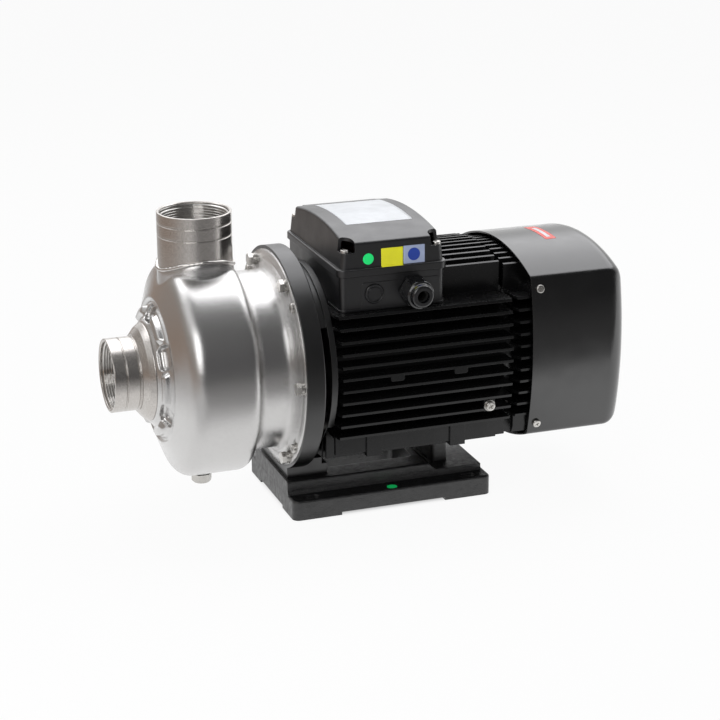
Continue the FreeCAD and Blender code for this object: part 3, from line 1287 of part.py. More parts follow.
def lid_form(inset):
    """Drafted block under a shallow arch: the lid's outside, or its hollow when inset."""
    z0 = up(BOX_SEAM) + BOX_GASKET_T
    z1 = up(LID_TOP) + 5.0
    lean_x = LID_DRAFT * (z1 - z0) / (LID_EDGE_TOP - BOX_SEAM)
    lean_y = LID_SIDE_DRAFT * (z1 - z0) / (LID_EDGE_TOP - BOX_SEAM)
    x0 = at(BOX_X) + inset
    x1 = at(BOX_X + BOX_L) - inset
    half = BOX_W / 2.0 - inset
    low = outline(rectangle(x0, x1, -half, half, 0), lambda x, y: V(x, y, z0))
    high = outline(rectangle(x0 + lean_x, x1 - lean_x, -half + lean_y, half - lean_y, 0),
                   lambda x, y: V(x, y, z1))
    rise = LID_TOP - LID_EDGE_TOP
    radius = ((BOX_W / 2.0) ** 2 + rise ** 2) / (2.0 * rise)
    centre = V(at(BOX_X) - 10.0, 0, up(LID_TOP) - radius)
    arch = Part.makeCylinder(radius - inset, BOX_L + 20.0, centre, X_AXIS)
    return Part.makeLoft([low, high], True).common(arch)


def terminal_box_lid():
    """Arched lid with a rim, corner notches for its screws and a hollow inside."""
    x0 = at(BOX_X) - LID_RIM_OUT
    x1 = at(BOX_X + BOX_L) + LID_RIM_OUT
    half = BOX_W / 2.0 + LID_RIM_OUT
    z0 = up(BOX_SEAM) + BOX_GASKET_T
    form = lid_form(0.0)
    uprights = [e for e in form.Edges if e.BoundBox.ZMin < z0 + 0.1 and e.BoundBox.ZMax > z0 + 5.0]
    form = form.makeFillet(BOX_CORNER_R, uprights)
    rim = plate_xy(rectangle(x0, x1, -half, half, BOX_CORNER_R + LID_RIM_OUT), z0, up(BOX_SEAM) + LID_RIM_H)
    rim = rim.makeFillet(1.4, [e for e in rim.Edges if e.BoundBox.ZMin > up(BOX_SEAM) + LID_RIM_H - 0.01])
    body = form.fuse(rim)
    posts = []
    notches = []
    holes = []
    for x, y in lid_notch_places(LID_NOTCH_IN):
        posts.append(Part.makeCylinder(M4_R + 4.0, up(LID_LAND) - z0, V(x, y, z0)))
        notches.append(lid_notch(x, y))
        holes.append(Part.makeCylinder(M4_R + CLEAR, 60.0, V(x, y, z0 - 1.0)))
    hollow = lid_form(LID_WALL).cut(posts)
    body = body.cut(notches).removeSplitter()
    crown = [e for e in body.Edges if e.BoundBox.ZMin > up(LID_EDGE_TOP) - 8.0
             and max(e.BoundBox.XLength, e.BoundBox.YLength) > 50.0]
    return body.makeFillet(LID_EDGE_R, crown).cut([hollow] + holes)


def lid_notch(x, y):
    """Round corner notch, open to the outside, down to the screw's land."""
    z = up(LID_LAND)
    sx = 1 if x > at(BOX_X + BOX_L / 2.0) else -1
    sy = 1 if y > 0 else -1
    well = Part.makeCylinder(LID_NOTCH_R, 40.0, V(x, y, z))
    out_x = Part.makeBox(20.0, LID_NOTCH_R + 20.0, 40.0,
                         V(x if sx > 0 else x - 20.0, y - LID_NOTCH_R if sy > 0 else y - 20.0, z))
    out_y = Part.makeBox(LID_NOTCH_R + 20.0, 20.0, 40.0,
                         V(x - LID_NOTCH_R if sx > 0 else x - 20.0, y if sy > 0 else y - 20.0, z))
    return well.fuse([out_x, out_y])


def lid_screws():
    out = []
    for x, y in lid_notch_places(LID_NOTCH_IN):
        top = up(LID_LAND)
        head = Part.makeCylinder(M4_HEAD_R, M4_HEAD_H, V(x, y, top))
        head = head.makeFillet(1.0, [e for e in head.Edges if e.BoundBox.ZMin > top + M4_HEAD_H - 0.1])
        length = LID_LAND - BOX_SEAM + 12.0
        out.append(head.fuse(Part.makeCylinder(M4_R - 0.05, length, V(x, y, top - length))))
    return out


def terminal_board():
    """Moulded block that carries the six studs."""
    mid = BOX_X + BOX_L / 2.0
    z = BOX_FLOOR + BOX_WALL
    board = block(mid - 30.0, mid + 30.0, 14.0, 50.0, z, z + 12.0)
    studs = [Part.makeCylinder(M5_R, 30.0, V(x, y, up(z) + 4.0)) for x, y in stud_places()]
    return board.cut(studs)


def stud_places():
    mid = at(BOX_X + BOX_L / 2.0)
    return [(mid + dx, y) for dx in (-20.0, 0.0, 20.0) for y in (24.0, 40.0)]


def terminal_studs():
    out = []
    z = up(BOX_FLOOR + BOX_WALL)
    for x, y in stud_places():
        stud = Part.makeCylinder(M5_R - 0.05, 18.0, V(x, y, z + 4.1))
        nut = hexagon(8.0, 4.0, V(x, y, z + 12.05), Z_AXIS)
        out.append(stud.fuse(nut))
    return out


def gland_turned(points):
    """Solid of revolution about the gland's axis from (distance out of the wall, r, round) points."""
    place = lambda out, r: V(at(GLAND_X) + r, -BOX_W / 2.0 - out, up(ENTRY_Z))
    face = Part.Face(outline(points, place))
    return face.revolve(V(at(GLAND_X), 0, up(ENTRY_Z)), Y_AXIS, 360)


def gland_body():
    """Threaded sleeve with a hexagon, screwed into the box wall."""
    wall = V(at(GLAND_X), -BOX_W / 2.0 - GLAND_FLANGE_L, up(ENTRY_Z))
    hexa = hexagon(GLAND_AF, GLAND_FLANGE_L - 2.0, V(wall.x, wall.y, wall.z), Y_AXIS)
    flange = gland_turned([(0, 0, 0), (0, GLAND_AF / 2.0, 0.4), (2.2, GLAND_AF / 2.0, 0), (2.2, 0, 0)])
    inner = gland_turned([(-9.0, 0, 0), (-9.0, GLAND_THREAD_R, 0.6), (0.5, GLAND_THREAD_R, 0), (0.5, 0, 0)])
    neck = gland_turned([(GLAND_FLANGE_L - 0.5, 0, 0), (GLAND_FLANGE_L - 0.5, 9.2, 0),
                         (GLAND_FLANGE_L + 10.0, 9.2, 0.5), (GLAND_FLANGE_L + 10.0, 0, 0)])
    bore = gland_turned([(-10.0, 0, 0), (-10.0, GLAND_BORE_R, 0), (GLAND_FLANGE_L + 11.0, GLAND_BORE_R, 0),
                         (GLAND_FLANGE_L + 11.0, 0, 0)])
    return hexa.fuse([flange, inner, neck]).cut(bore)


def gland_nut():
    """Dome nut of the gland: six shallow flats behind a round nose."""
    x0 = GLAND_FLANGE_L + 0.1
    end = GLAND_FLANGE_L + GLAND_NUT_L
    r = GLAND_AF / 2.0 + 0.6
    dome = gland_turned([(x0, 0, 0), (x0, r, 0.6), (end - 6.5, r, 1.5), (end - 5.0, GLAND_NOSE_R + 0.8, 1.0),
                         (end, GLAND_NOSE_R, 2.6), (end, 0, 0)])
    start = V(at(GLAND_X), -BOX_W / 2.0 - end, up(ENTRY_Z))
    flats = hexagon(GLAND_AF, GLAND_NUT_L, start, Y_AXIS)
    room = gland_turned([(x0 - 1, 0, 0), (x0 - 1, 9.3, 0), (GLAND_FLANGE_L + 10.3, 9.3, 0),
                         (end - 4.0, 7.0, 0), (end - 2.0, GLAND_CABLE_R + 0.8, 0),
                         (end + 1, GLAND_CABLE_R + 1.2, 0), (end + 1, 0, 0)])
    return dome.common(flats).cut(room)


def gland_seal():
    """Rubber sleeve that grips a cable inside the gland."""
    return gland_turned([(GLAND_FLANGE_L + 1.0, GLAND_CABLE_R, 0),
                         (GLAND_FLANGE_L + 1.0, GLAND_BORE_R - FIT, 0),
                         (GLAND_FLANGE_L + 10.0, GLAND_BORE_R - FIT, 0),
                         (GLAND_FLANGE_L + 12.5, GLAND_BORE_R - 1.5, 0.5),
                         (GLAND_FLANGE_L + 12.5, GLAND_CABLE_R, 0)])


def blanking_plug():
    """Round closure of the unused cable entry, with a raised rim and a sunk ring inside it."""
    face = -BOX_W / 2.0
    place = lambda out, r: V(at(BLANK_X) + r, face - out, up(ENTRY_Z))
    points = [(0.0, 0, 0), (0.0, BLANK_R, 0), (1.7, BLANK_R, 0.8), (1.7, BLANK_R - 1.5, 0.4),
              (0.5, BLANK_R - 1.7, 0), (0.5, BLANK_R - 2.6, 0), (1.2, BLANK_R - 2.8, 0.3), (1.2, 0, 0)]
    cap = Part.Face(outline(points, place)).revolve(V(at(BLANK_X), 0, up(ENTRY_Z)), Y_AXIS, 360)
    foot = V(at(BLANK_X), face - 0.1, up(ENTRY_Z))
    stem = Part.makeCylinder(BLANK_R - 2.0 - FIT, BOX_WALL + 2.0, foot, Y_AXIS)
    return cap.fuse(stem)


def flange_bolts():
    seat = -M6_WASHER_T - M6_SPRING_T
    head = hexagon(M6_AF, M6_HEAD_H, near_point(seat - M6_HEAD_H, FLANGE_BOLT_R), X_AXIS)
    shank = Part.makeCylinder(M6_R - 0.05, 14.0 - seat, near_point(seat, FLANGE_BOLT_R), X_AXIS)
    return [around(head.fuse(shank), a) for a in flange_bolt_angles()]


def flange_rings(x0, x1, r_out, r_in):
    low = near_point(x0, FLANGE_BOLT_R)
    one = Part.makeCylinder(r_out, x1 - x0, low, X_AXIS).cut(Part.makeCylinder(r_in, x1 - x0, low, X_AXIS))
    return [around(one, a) for a in flange_bolt_angles()]


def flange_washers():
    return flange_rings(-M6_WASHER_T, 0.0, M6_WASHER_R, M6_R + CLEAR)


def spring_washers():
    return flange_rings(-M6_WASHER_T - M6_SPRING_T, -M6_WASHER_T, M6_SPRING_R, M6_R + 0.2)


def flange_screws():
    """Socket screws that hold the casing while the bolts are out."""
    head = Part.makeCylinder(M5_HEAD_R, M5_HEAD_H, near_point(-M5_HEAD_H, FLANGE_SCREW_R), X_AXIS)
    head = head.makeFillet(1.0, [e for e in head.Edges if e.BoundBox.XMax < at(-M5_HEAD_H) + 0.1])
    socket = hexagon(3.6, 2.0, near_point(-M5_HEAD_H - 0.1, FLANGE_SCREW_R), X_AXIS)
    shank = Part.makeCylinder(M5_R - 0.05, 13.0, near_point(0.0, FLANGE_SCREW_R), X_AXIS)
    return [around(head.fuse(shank).cut(socket), a) for a in FLANGE_SCREW_ANGLES]


def shield_screws(seat, inward):
    """Cap screws of one end shield; inward is +1 or -1 along the shaft."""
    base = near_point(seat, TIE_R)
    head_at = near_point(seat - inward * 6.0, TIE_R) if inward > 0 else base
    head = Part.makeCylinder(5.0, 6.0, head_at, X_AXIS)
    length = 16.0
    shank_at = base if inward > 0 else near_point(seat - length, TIE_R)
    shank = Part.makeCylinder(M6_R - 0.05, length, shank_at, X_AXIS)
    return [around(head.fuse(shank), a) for a in tie_angles()]


def earth_screw():
    """Earth terminal: washer and pan head screw on its boss."""
    face = -FIN_HALF_W + EARTH_SINK
    washer = Part.makeCylinder(EARTH_WASHER_R, 1.0, V(at(EARTH_X), face - 1.0, up(EARTH_Z)), Y_AXIS)
    head = Part.makeCylinder(M5_HEAD_R, 3.2, V(at(EARTH_X), face - 4.2, up(EARTH_Z)), Y_AXIS)
    head = head.makeFillet(1.2, [e for e in head.Edges if e.BoundBox.YMax < face - 4.1])
    shank = Part.makeCylinder(M5_R - 0.05, 8.0, V(at(EARTH_X), face - 1.0, up(EARTH_Z)), Y_AXIS)
    return head.fuse([washer, shank])


def rear_foot():
    """Support block between the base pad and the frame."""
    x0 = at(FOOT_X)
    body = plate_xy(rectangle(x0, x0 + FOOT_L, -FOOT_W / 2, FOOT_W / 2, 4.0), REAR_PAD_TOP, up(FOOT_TOP))
    low = REAR_PAD_TOP - 5.0
    holes = [Part.makeCylinder(M8_R + CLEAR, 50.0, V(x, y, low)) for x, y in foot_bolt_places()]
    return body.cut(holes)


def wave_spring():
    """Preload washer behind the rear bearing, drawn flat."""
    return ring(REAR_BEARING_X + REAR_BEARING_W - 1.0, REAR_BEARING_X + REAR_BEARING_W,
                REAR_BEARING_R - 0.5, REAR_BEARING_R - 4.0)


FRONT_BEARING = (FRONT_BEARING_X, FRONT_BEARING_W, FRONT_BEARING_SEAT_R, FRONT_BEARING_R)
REAR_BEARING = (REAR_BEARING_X, REAR_BEARING_W - 1.0, REAR_BEARING_SEAT_R, REAR_BEARING_R)

NODES = {
    "base_plate": base_plate,
    "rear_foot": rear_foot,
    "bracket_bolts": lambda: upright_bolts(bracket_bolt_places(), PAD_TOP, 11.0),
    "foot_bolts": lambda: upright_bolts(foot_bolt_places(), REAR_PAD_TOP, up(FOOT_TOP) - REAR_PAD_TOP + 8.0),
    "motor_bracket": motor_bracket,
    "volute_casing": volute_casing,
    "suction_nozzle": suction_nozzle,
    "discharge_nozzle": discharge_nozzle,
    "drain_plug": drain_plug,
    "drain_gasket": drain_gasket,
    "casing_cover": casing_cover,
    "casing_o_ring": casing_o_ring,
    "seal_seat": seal_seat,
    "seal_seat_cup": seal_seat_cup,
    "flange_bolts": flange_bolts,
    "flange_washers": flange_washers,
    "spring_washers": spring_washers,
    "flange_screws": flange_screws,
    "front_outer_race": lambda: outer_race(*FRONT_BEARING),
    "rear_outer_race": lambda: outer_race(*REAR_BEARING),
    "wave_spring": wave_spring,
    "motor_frame": motor_frame,
    "stator_core": stator_core,
    "stator_winding": stator_winding,
    "rear_endshield": rear_endshield,
    "bracket_screws": lambda: shield_screws(SHIELD_X, 1),
    "endshield_screws": lambda: shield_screws(FRAME_END + REAR_SHIELD_T, -1),
    "fan_cover": fan_cover,
    "cover_screws": cover_screws,
    "earth_screw": earth_screw,
    "terminal_box_base": terminal_box_base,
    "box_screws": box_screws,
    "box_gasket": box_gasket,
    "terminal_box_lid": terminal_box_lid,
    "lid_screws": lid_screws,
    "terminal_board": terminal_board,
    "terminal_studs": terminal_studs,
    "gland_body": gland_body,
    "gland_seal": gland_seal,
    "gland_nut": gland_nut,
    "blanking_plug": blanking_plug,
    "shaft": shaft,
    "impeller": impeller,
    "impeller_key": lambda: key_bar(0.0),
    "impeller_washer": impeller_washer,
    "impeller_nut": impeller_nut,
    "seal_head": seal_head,
    "seal_spring": seal_spring,
    "deflector": deflector,
    "rotor_core": rotor_core,
    "front_inner_race": lambda: inner_race(*FRONT_BEARING),
    "rear_inner_race": lambda: inner_race(*REAR_BEARING),
    "cooling_fan": cooling_fan,
    "fan_clip": fan_clip,
    "front_cage": lambda: bearing_cage(*FRONT_BEARING),
    "front_balls": lambda: bearing_balls(*FRONT_BEARING),
    "rear_cage": lambda: bearing_cage(*REAR_BEARING),
    "rear_balls": lambda: bearing_balls(*REAR_BEARING),
}


def main():
    os.makedirs("parts", exist_ok=True)
    for name, make in NODES.items():
        made = make()
        solids = made if isinstance(made, list) else made.Solids
        shape = solids[0] if len(solids) == 1 else Part.makeCompound(solids)
        if not shape.isValid():
            raise ValueError(name + " isn't valid")
        shape.exportStep("parts/" + name + ".step")


main()
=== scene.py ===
import math

import bmesh
import bpy
from mathutils import Matrix, Vector


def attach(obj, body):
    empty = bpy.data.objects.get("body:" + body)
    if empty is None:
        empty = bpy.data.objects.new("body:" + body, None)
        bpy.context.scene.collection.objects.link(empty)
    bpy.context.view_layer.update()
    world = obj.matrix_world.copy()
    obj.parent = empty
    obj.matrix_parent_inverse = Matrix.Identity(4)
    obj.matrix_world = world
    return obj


# The pump dressed for its picture. Metres, in the model's own frame: +X runs from the suction
# port to the fan, +Z is up and the cable gland faces -Y.

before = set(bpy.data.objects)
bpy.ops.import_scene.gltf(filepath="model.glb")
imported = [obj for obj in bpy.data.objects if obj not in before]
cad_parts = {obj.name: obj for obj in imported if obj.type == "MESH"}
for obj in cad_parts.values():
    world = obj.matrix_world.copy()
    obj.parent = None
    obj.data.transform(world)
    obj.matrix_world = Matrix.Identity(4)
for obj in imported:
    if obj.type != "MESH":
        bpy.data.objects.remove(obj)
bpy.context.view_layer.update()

SHAFT_Z = 0.1325
FLANGE_X = -0.092
PORT_X = FLANGE_X - 0.0679        # discharge axis
NOSE_END = FLANGE_X - 0.1040      # ring groove round the pressed nose
NOSE_BLEND = 0.008                # length in which the nose's finish turns into the drum's
NOISE_LOW, NOISE_HIGH = 0.3, 0.7  # most values of a noise lie between these

X = (1.0, 0.0, 0.0)
Y = (0.0, 1.0, 0.0)
Z = (0.0, 0.0, 1.0)
BACK = (0.3465, 0.9381, 0.0)      # level direction from the camera's side to the backdrop
ASIDE = (0.9381, -0.3465, 0.0)    # level direction to the right of the picture


def at(x, y, z):
    """Point from millimetres behind the casing's flange, off the mid plane and above the shaft."""
    return Vector((FLANGE_X + x / 1000.0, y / 1000.0, SHAFT_Z + z / 1000.0))


# Materials


class Graph:
    """Short forms for the nodes of a shader."""

    def __init__(self, tree):
        self.nodes = tree.nodes
        self.links = tree.links

    def put(self, value, socket):
        if isinstance(value, (int, float)):
            socket.default_value = value
        else:
            self.links.new(value, socket)

    def math(self, operation, a, b=0.0):
        node = self.nodes.new("ShaderNodeMath")
        node.operation = operation
        self.put(a, node.inputs[0])
        self.put(b, node.inputs[1])
        return node.outputs["Value"]

    def dot(self, vector, direction):
        node = self.nodes.new("ShaderNodeVectorMath")
        node.operation = "DOT_PRODUCT"
        self.links.new(vector, node.inputs[0])
        node.inputs[1].default_value = direction
        return node.outputs["Value"]

    def split(self, vector):
        """Outputs X, Y and Z of a vector."""
        node = self.nodes.new("ShaderNodeSeparateXYZ")
        self.links.new(vector, node.inputs["Vector"])
        return node.outputs

    def spread(self, value, low, high, first=0.0, last=1.0, smooth=False):
        """Goes from first to last while value goes from low to high."""
        node = self.nodes.new("ShaderNodeMapRange")
        if smooth:
            node.interpolation_type = "SMOOTHSTEP"
        self.put(value, node.inputs["Value"])
        node.inputs["From Min"].default_value = low
        node.inputs["From Max"].default_value = high
        node.inputs["To Min"].default_value = first
        node.inputs["To Max"].default_value = last
        return node.outputs["Result"]

    def step(self, value, low, high):
        """0 below low, 1 above high, smooth between."""
        return self.spread(value, low, high, smooth=True)

    def ramp(self, value, stops):
        """Colours or grey levels at places from 0 to 1."""
        node = self.nodes.new("ShaderNodeValToRGB")
        ramp = node.color_ramp
        while len(ramp.elements) < len(stops):
            ramp.elements.new(0.5)
        for element, (place, level) in zip(ramp.elements, stops):
            element.position = place
            colour = (level,) * 3 if isinstance(level, float) else level
            element.color = (*colour, 1.0)
        self.links.new(value, node.inputs["Fac"])
        return node.outputs["Color"]

    def scale(self, value, low, high, stops):
        """A ramp whose places run from low to high."""
        placed = [((place - low) / (high - low), level) for place, level in stops]
        return self.ramp(self.spread(value, low, high), placed)

    def mix_colour(self, share, a, b):
        node = self.nodes.new("ShaderNodeMix")
        node.data_type = "RGBA"
        self.put(share, node.inputs["Factor"])
        for value, socket in ((a, node.inputs[6]), (b, node.inputs[7])):
            if isinstance(value, tuple):
                socket.default_value = (*value, 1.0)
            else:
                self.links.new(value, socket)
        return node.outputs[2]

    def mix_shader(self, share, a, b):
        node = self.nodes.new("ShaderNodeMixShader")
        self.put(share, node.inputs["Fac"])
        self.links.new(a, node.inputs[1])
        self.links.new(b, node.inputs[2])
        return node.outputs["Shader"]


class Paint(Graph):
    """A Principled material that is built up from procedural layers."""

    def __init__(self, name, colour, rough, metal=0.0, **sockets):
        self.mat = bpy.data.materials.new(name)
        self.mat.use_nodes = True
        super().__init__(self.mat.node_tree)
        self.bsdf = self.nodes["Principled BSDF"]
        self.colour = colour
        self.bsdf.inputs["Base Color"].default_value = (*colour, 1.0)
        self.bsdf.inputs["Roughness"].default_value = rough
        self.bsdf.inputs["Metallic"].default_value = metal
        for key, value in sockets.items():
            self.bsdf.inputs[key.replace("_", " ")].default_value = value
        self.coords = self.nodes.new("ShaderNodeTexCoord").outputs["Object"]
        self.normal = None

    def roughness(self, value):
        self.links.new(value, self.bsdf.inputs["Roughness"])
        return self

    def shaded_by(self, node):
        """The surface takes the normal that a node makes."""
        self.normal = node.outputs["Normal"]
        self.links.new(self.normal, self.bsdf.inputs["Normal"])
        return self

    def softened(self, radius, samples=6):
        """Edges shade as if they were rounded by radius, a number or the output of a node."""
        node = self.nodes.new("ShaderNodeBevel")
        node.samples = samples
        self.put(radius, node.inputs["Radius"])
        return self.shaded_by(node)

    def past_nose(self, nose, drum):
        """A value that goes from the nose's to the drum's behind the ring groove."""
        along = self.split(self.coords)["X"]
        return self.spread(along, NOSE_END, NOSE_END + NOSE_BLEND, nose, drum, smooth=True)

    def noise(self, scale, detail, stretch=None):
        vector = self.coords
        if stretch:
            mapping = self.nodes.new("ShaderNodeMapping")
            mapping.inputs["Scale"].default_value = stretch
            self.links.new(self.coords, mapping.inputs["Vector"])
            vector = mapping.outputs["Vector"]
        node = self.nodes.new("ShaderNodeTexNoise")
        node.inputs["Scale"].default_value = scale
        node.inputs["Detail"].default_value = detail
        self.links.new(vector, node.inputs["Vector"])
        return node.outputs["Fac"]

    def mottle(self, scale, amount, detail=3.0, stretch=None):
        """Colour drifts lighter and darker by amount."""
        dark = [c * (1.0 - amount) for c in self.colour]
        light = [min(1.0, c * (1.0 + amount)) for c in self.colour]
        noise = self.noise(scale, detail, stretch)
        colour = self.ramp(noise, [(NOISE_LOW, dark), (NOISE_HIGH, light)])
        self.links.new(colour, self.bsdf.inputs["Base Color"])
        return self

    def worn(self, scale, low, high):
        """Roughness drifts between low and high."""
        return self.roughness(self.spread(self.noise(scale, 3.0), NOISE_LOW, NOISE_HIGH, low, high))

    def grain(self, scale, depth, detail=2.0, strength=1.0, stretch=None):
        """Fine bumps on the surface; depth is in metres."""
        node = self.nodes.new("ShaderNodeBump")
        node.inputs["Distance"].default_value = depth
        node.inputs["Strength"].default_value = strength
        self.links.new(self.noise(scale, detail, stretch), node.inputs["Height"])
        if self.normal:
            self.links.new(self.normal, node.inputs["Normal"])
        return self.shaded_by(node)


def blasted_steel():
    """Brighter and crisper on the pressed nose, frosted and softly rounded on the drum."""
    paint = Paint("blasted stainless", (0.605, 0.598, 0.592), 0.24, 1.0)
    paint.mottle(2200.0, 0.10, 1.0).roughness(paint.past_nose(0.15, 0.245))
    paint.softened(paint.past_nose(0.0028, 0.010), samples=12)
    return paint.grain(1250.0, 0.00017, 2.0, 0.6)


def turned_steel(name, axis):
    """Stainless with fine tool marks round an axis."""
    marks = [3.0, 3.0, 3.0]
    marks[axis] = 1900.0
    paint = Paint(name, (0.56, 0.535, 0.51), 0.25, 1.0)
    paint.mottle(900.0, 0.10, 1.0).softened(0.0006)
    return paint.grain(1.0, 0.00005, 2.0, 0.6, marks).grain(1400.0, 0.00005, 1.0, 0.4)


def satin_black(name, colour, rough, depth=0.00006, gloss=0.9, edge=0.0006):
    """Smooth black paint; depth is the grain's and edge the round of its corners."""
    paint = Paint(name, colour, rough, Specular_IOR_Level=gloss)
    paint.mottle(30.0, 0.12).worn(60.0, rough - 0.04, rough + 0.05).softened(edge)
    return paint.grain(420.0, depth, 2.0, 0.5).grain(2400.0, depth * 0.3, 2.0, 0.4)


def cast_black(name, depth, rough, scale):
    """Thick paint over a sand casting."""
    paint = Paint(name, (0.004, 0.004, 0.0043), rough, Specular_IOR_Level=0.9)
    paint.worn(200.0, rough - 0.08, rough + 0.1).softened(0.0012, 4)
    return paint.grain(scale, depth, 3.0, 0.8).grain(120.0, depth * 2.0, 2.0, 0.4)


def plated_steel():
    paint = Paint("plated steel", (0.56, 0.545, 0.52), 0.26, 1.0)
    paint.mottle(150.0, 0.1).worn(180.0, 0.22, 0.34).softened(0.0003)
    return paint.grain(900.0, 0.00003, 2.0, 0.4)


def plain(name, colour, rough, metal=0.0, scale=300.0, depth=0.00005, **sockets):
    """One even finish with a faint drift of colour and a fine grain."""
    paint = Paint(name, colour, rough, metal, **sockets)
    return paint.mottle(scale, 0.08).grain(scale * 4.0, depth, 2.0, 0.4)


def film(name, colour, rough=0.35):
    return plain(name, colour, rough, scale=60.0, depth=0.00001)


def laminations():
    sheets = (2000.0, 4.0, 4.0)
    paint = Paint("stacked sheet", (0.30, 0.29, 0.28), 0.4, 1.0)
    return paint.mottle(1.0, 0.3, 1.0, sheets).grain(1.0, 0.0001, 1.0, 0.6, sheets)


def copper_wire():
    wires = (900.0, 900.0, 60.0)
    paint = Paint("varnished copper", (0.48, 0.17, 0.07), 0.3, 0.9)
    return paint.mottle(1.0, 0.35, 2.0, wires).grain(1.0, 0.0003, 2.0, 0.8, wires)


BLASTED = blasted_steel()
TURNED_X = turned_steel("turned stainless, along the shaft", 0)
TURNED_Z = turned_steel("turned stainless, upright", 2)
BRACKET = satin_black("bracket paint", (0.003, 0.003, 0.0032), 0.33)
FRAME_PAINT = satin_black("frame paint", (0.004, 0.004, 0.0042), 0.26, gloss=0.4, edge=0.0004)
BOX_PAINT = satin_black("box paint", (0.005, 0.005, 0.006), 0.36)
HOOD_PAINT = satin_black("fan cover paint", (0.002, 0.002, 0.0022), 0.22, 0.00002)
BASE_PAINT = cast_black("base paint", 0.0006, 0.38, 900.0)
FOOT_PAINT = cast_black("foot paint", 0.0004, 0.40, 800.0)
PLATED = plated_steel()
GROUND = plain("ground steel", (0.56, 0.56, 0.55), 0.18, 1.0, 400.0, 0.00002)
PRESSED = plain("pressed steel", (0.5, 0.47, 0.40), 0.3, 1.0, 400.0, 0.00003)
RUBBER = plain("rubber", (0.02, 0.02, 0.02), 0.6)
CERAMIC = plain("ceramic", (0.42, 0.40, 0.37), 0.25)
BOARD = plain("moulded board", (0.16, 0.03, 0.02), 0.45)
BRASS = plain("brass", (0.72, 0.48, 0.18), 0.25, 1.0)
GLAND = plain("glossy plastic", (0.008, 0.008, 0.009), 0.12, scale=200.0, depth=0.00003, Coat_Weight=0.4)
FAN = plain("fan plastic", (0.02, 0.02, 0.021), 0.4)
LAMINATED = laminations()
COPPER = copper_wire()
THREAD = plain("thread flanks", (0.60, 0.585, 0.565), 0.16, 1.0, 200.0, 0.00002)
WELD = plain("weld metal", (0.66, 0.64, 0.62), 0.24, 1.0, 900.0, 0.0001)
LABEL = film("label film", (0.74, 0.76, 0.79), 0.32)
YELLOW = film("yellow film", (0.86, 0.82, 0.02))
PALE_BLUE = film("pale film", (0.38, 0.44, 0.62))
BLUE = film("blue film", (0.02, 0.06, 0.38))
GREEN = film("green film", (0.01, 0.92, 0.22))
RED = film("red film", (0.75, 0.06, 0.04))

FINISHES = {
    BLASTED: ["volute_casing", "casing_cover"],
    TURNED_X: ["suction_nozzle", "impeller"],
    TURNED_Z: ["discharge_nozzle"],
    BRACKET: ["motor_bracket"],
    FRAME_PAINT: ["motor_frame", "rear_endshield"],
    BOX_PAINT: ["terminal_box_base", "terminal_box_lid"],
    HOOD_PAINT: ["fan_cover"],
    BASE_PAINT: ["base_plate"],
    FOOT_PAINT: ["rear_foot"],
    PLATED: ["drain_plug", "bracket_bolts", "foot_bolts", "flange_bolts", "flange_washers",
             "spring_washers", "flange_screws", "bracket_screws", "endshield_screws", "cover_screws",
             "earth_screw", "box_screws", "lid_screws", "impeller_washer", "impeller_nut"],
    GROUND: ["front_outer_race", "rear_outer_race", "front_inner_race", "rear_inner_race", "front_balls",
             "rear_balls", "shaft", "impeller_key", "seal_spring", "wave_spring", "fan_clip"],
    PRESSED: ["front_cage", "rear_cage"],
    RUBBER: ["drain_gasket", "casing_o_ring", "seal_seat_cup", "box_gasket", "gland_seal", "deflector"],
    CERAMIC: ["seal_seat", "seal_head"],
    BOARD: ["terminal_board"],
    BRASS: ["terminal_studs"],
    GLAND: ["gland_body", "gland_nut", "blanking_plug"],
    FAN: ["cooling_fan"],
    LAMINATED: ["stator_core", "rotor_core"],
    COPPER: ["stator_winding"],
}


def dress(obj, paint):
    obj.data.materials.clear()
    obj.data.materials.append(paint.mat)


def bevelled(node, width):
    """Breaks a node's sharp edges so that they catch the light."""
    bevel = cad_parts[node].modifiers.new("edges", "BEVEL")
    bevel.width = width
    bevel.segments = 2
    bevel.limit_method = "ANGLE"
    bevel.angle_limit = math.radians(35.0)
    bevel.use_clamp_overlap = True
    bevel.harden_normals = True


for paint, nodes in FINISHES.items():
    for node in nodes:
        dress(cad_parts[node], paint)


# Pieces


def islands(node):
    """Vertices of each separate solid of a node, as lists of points, in the mesh's own order."""
    mesh = bmesh.new()
    mesh.from_mesh(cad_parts[node].data)
    left = set(mesh.verts)
    out = []
    for first in mesh.verts:
        if first not in left:
            continue
        left.remove(first)
        todo = [first]
        found = []
        while todo:
            vert = todo.pop()
            found.append(vert.co.copy())
            for edge in vert.link_edges:
                other = edge.other_vert(vert)
                if other in left:
                    left.remove(other)
                    todo.append(other)
        out.append(found)
    mesh.free()
    return out


def joined_islands(node, reach=0.004):
    """Islands gathered into solids by the nearness of their middles, for meshes with split faces."""
    groups = []
    for points in islands(node):
        middle = sum(points, Vector()) / len(points)
        for group in groups:
            if (group[0] - middle).length < reach:
                group[1].extend(points)
                break
        else:
            groups.append([middle, list(points)])
    return [g[1] for g in groups]


def in_scene(name, data):
    obj = bpy.data.objects.new(name, data)
    bpy.context.collection.objects.link(obj)
    return obj


def new_piece(name, verts, faces, paint, slot):
    """A smooth mesh on the pump's body, with one material."""
    mesh = bpy.data.meshes.new(name)
    mesh.from_pydata(verts, [], faces)
    mesh.materials.append(paint.mat)
    for face in mesh.polygons:
        face.use_smooth = True
    obj = in_scene(name, mesh)
    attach(obj, "pump_body")
    return obj


def grid_faces(rows, columns, start=0):
    """Quads of a grid of points, listed row by row from point start."""
    wide = columns + 1
    corners = [start + j * wide + i for j in range(rows) for i in range(columns)]
    return [(a, a + 1, a + wide + 1, a + wide) for a in corners]


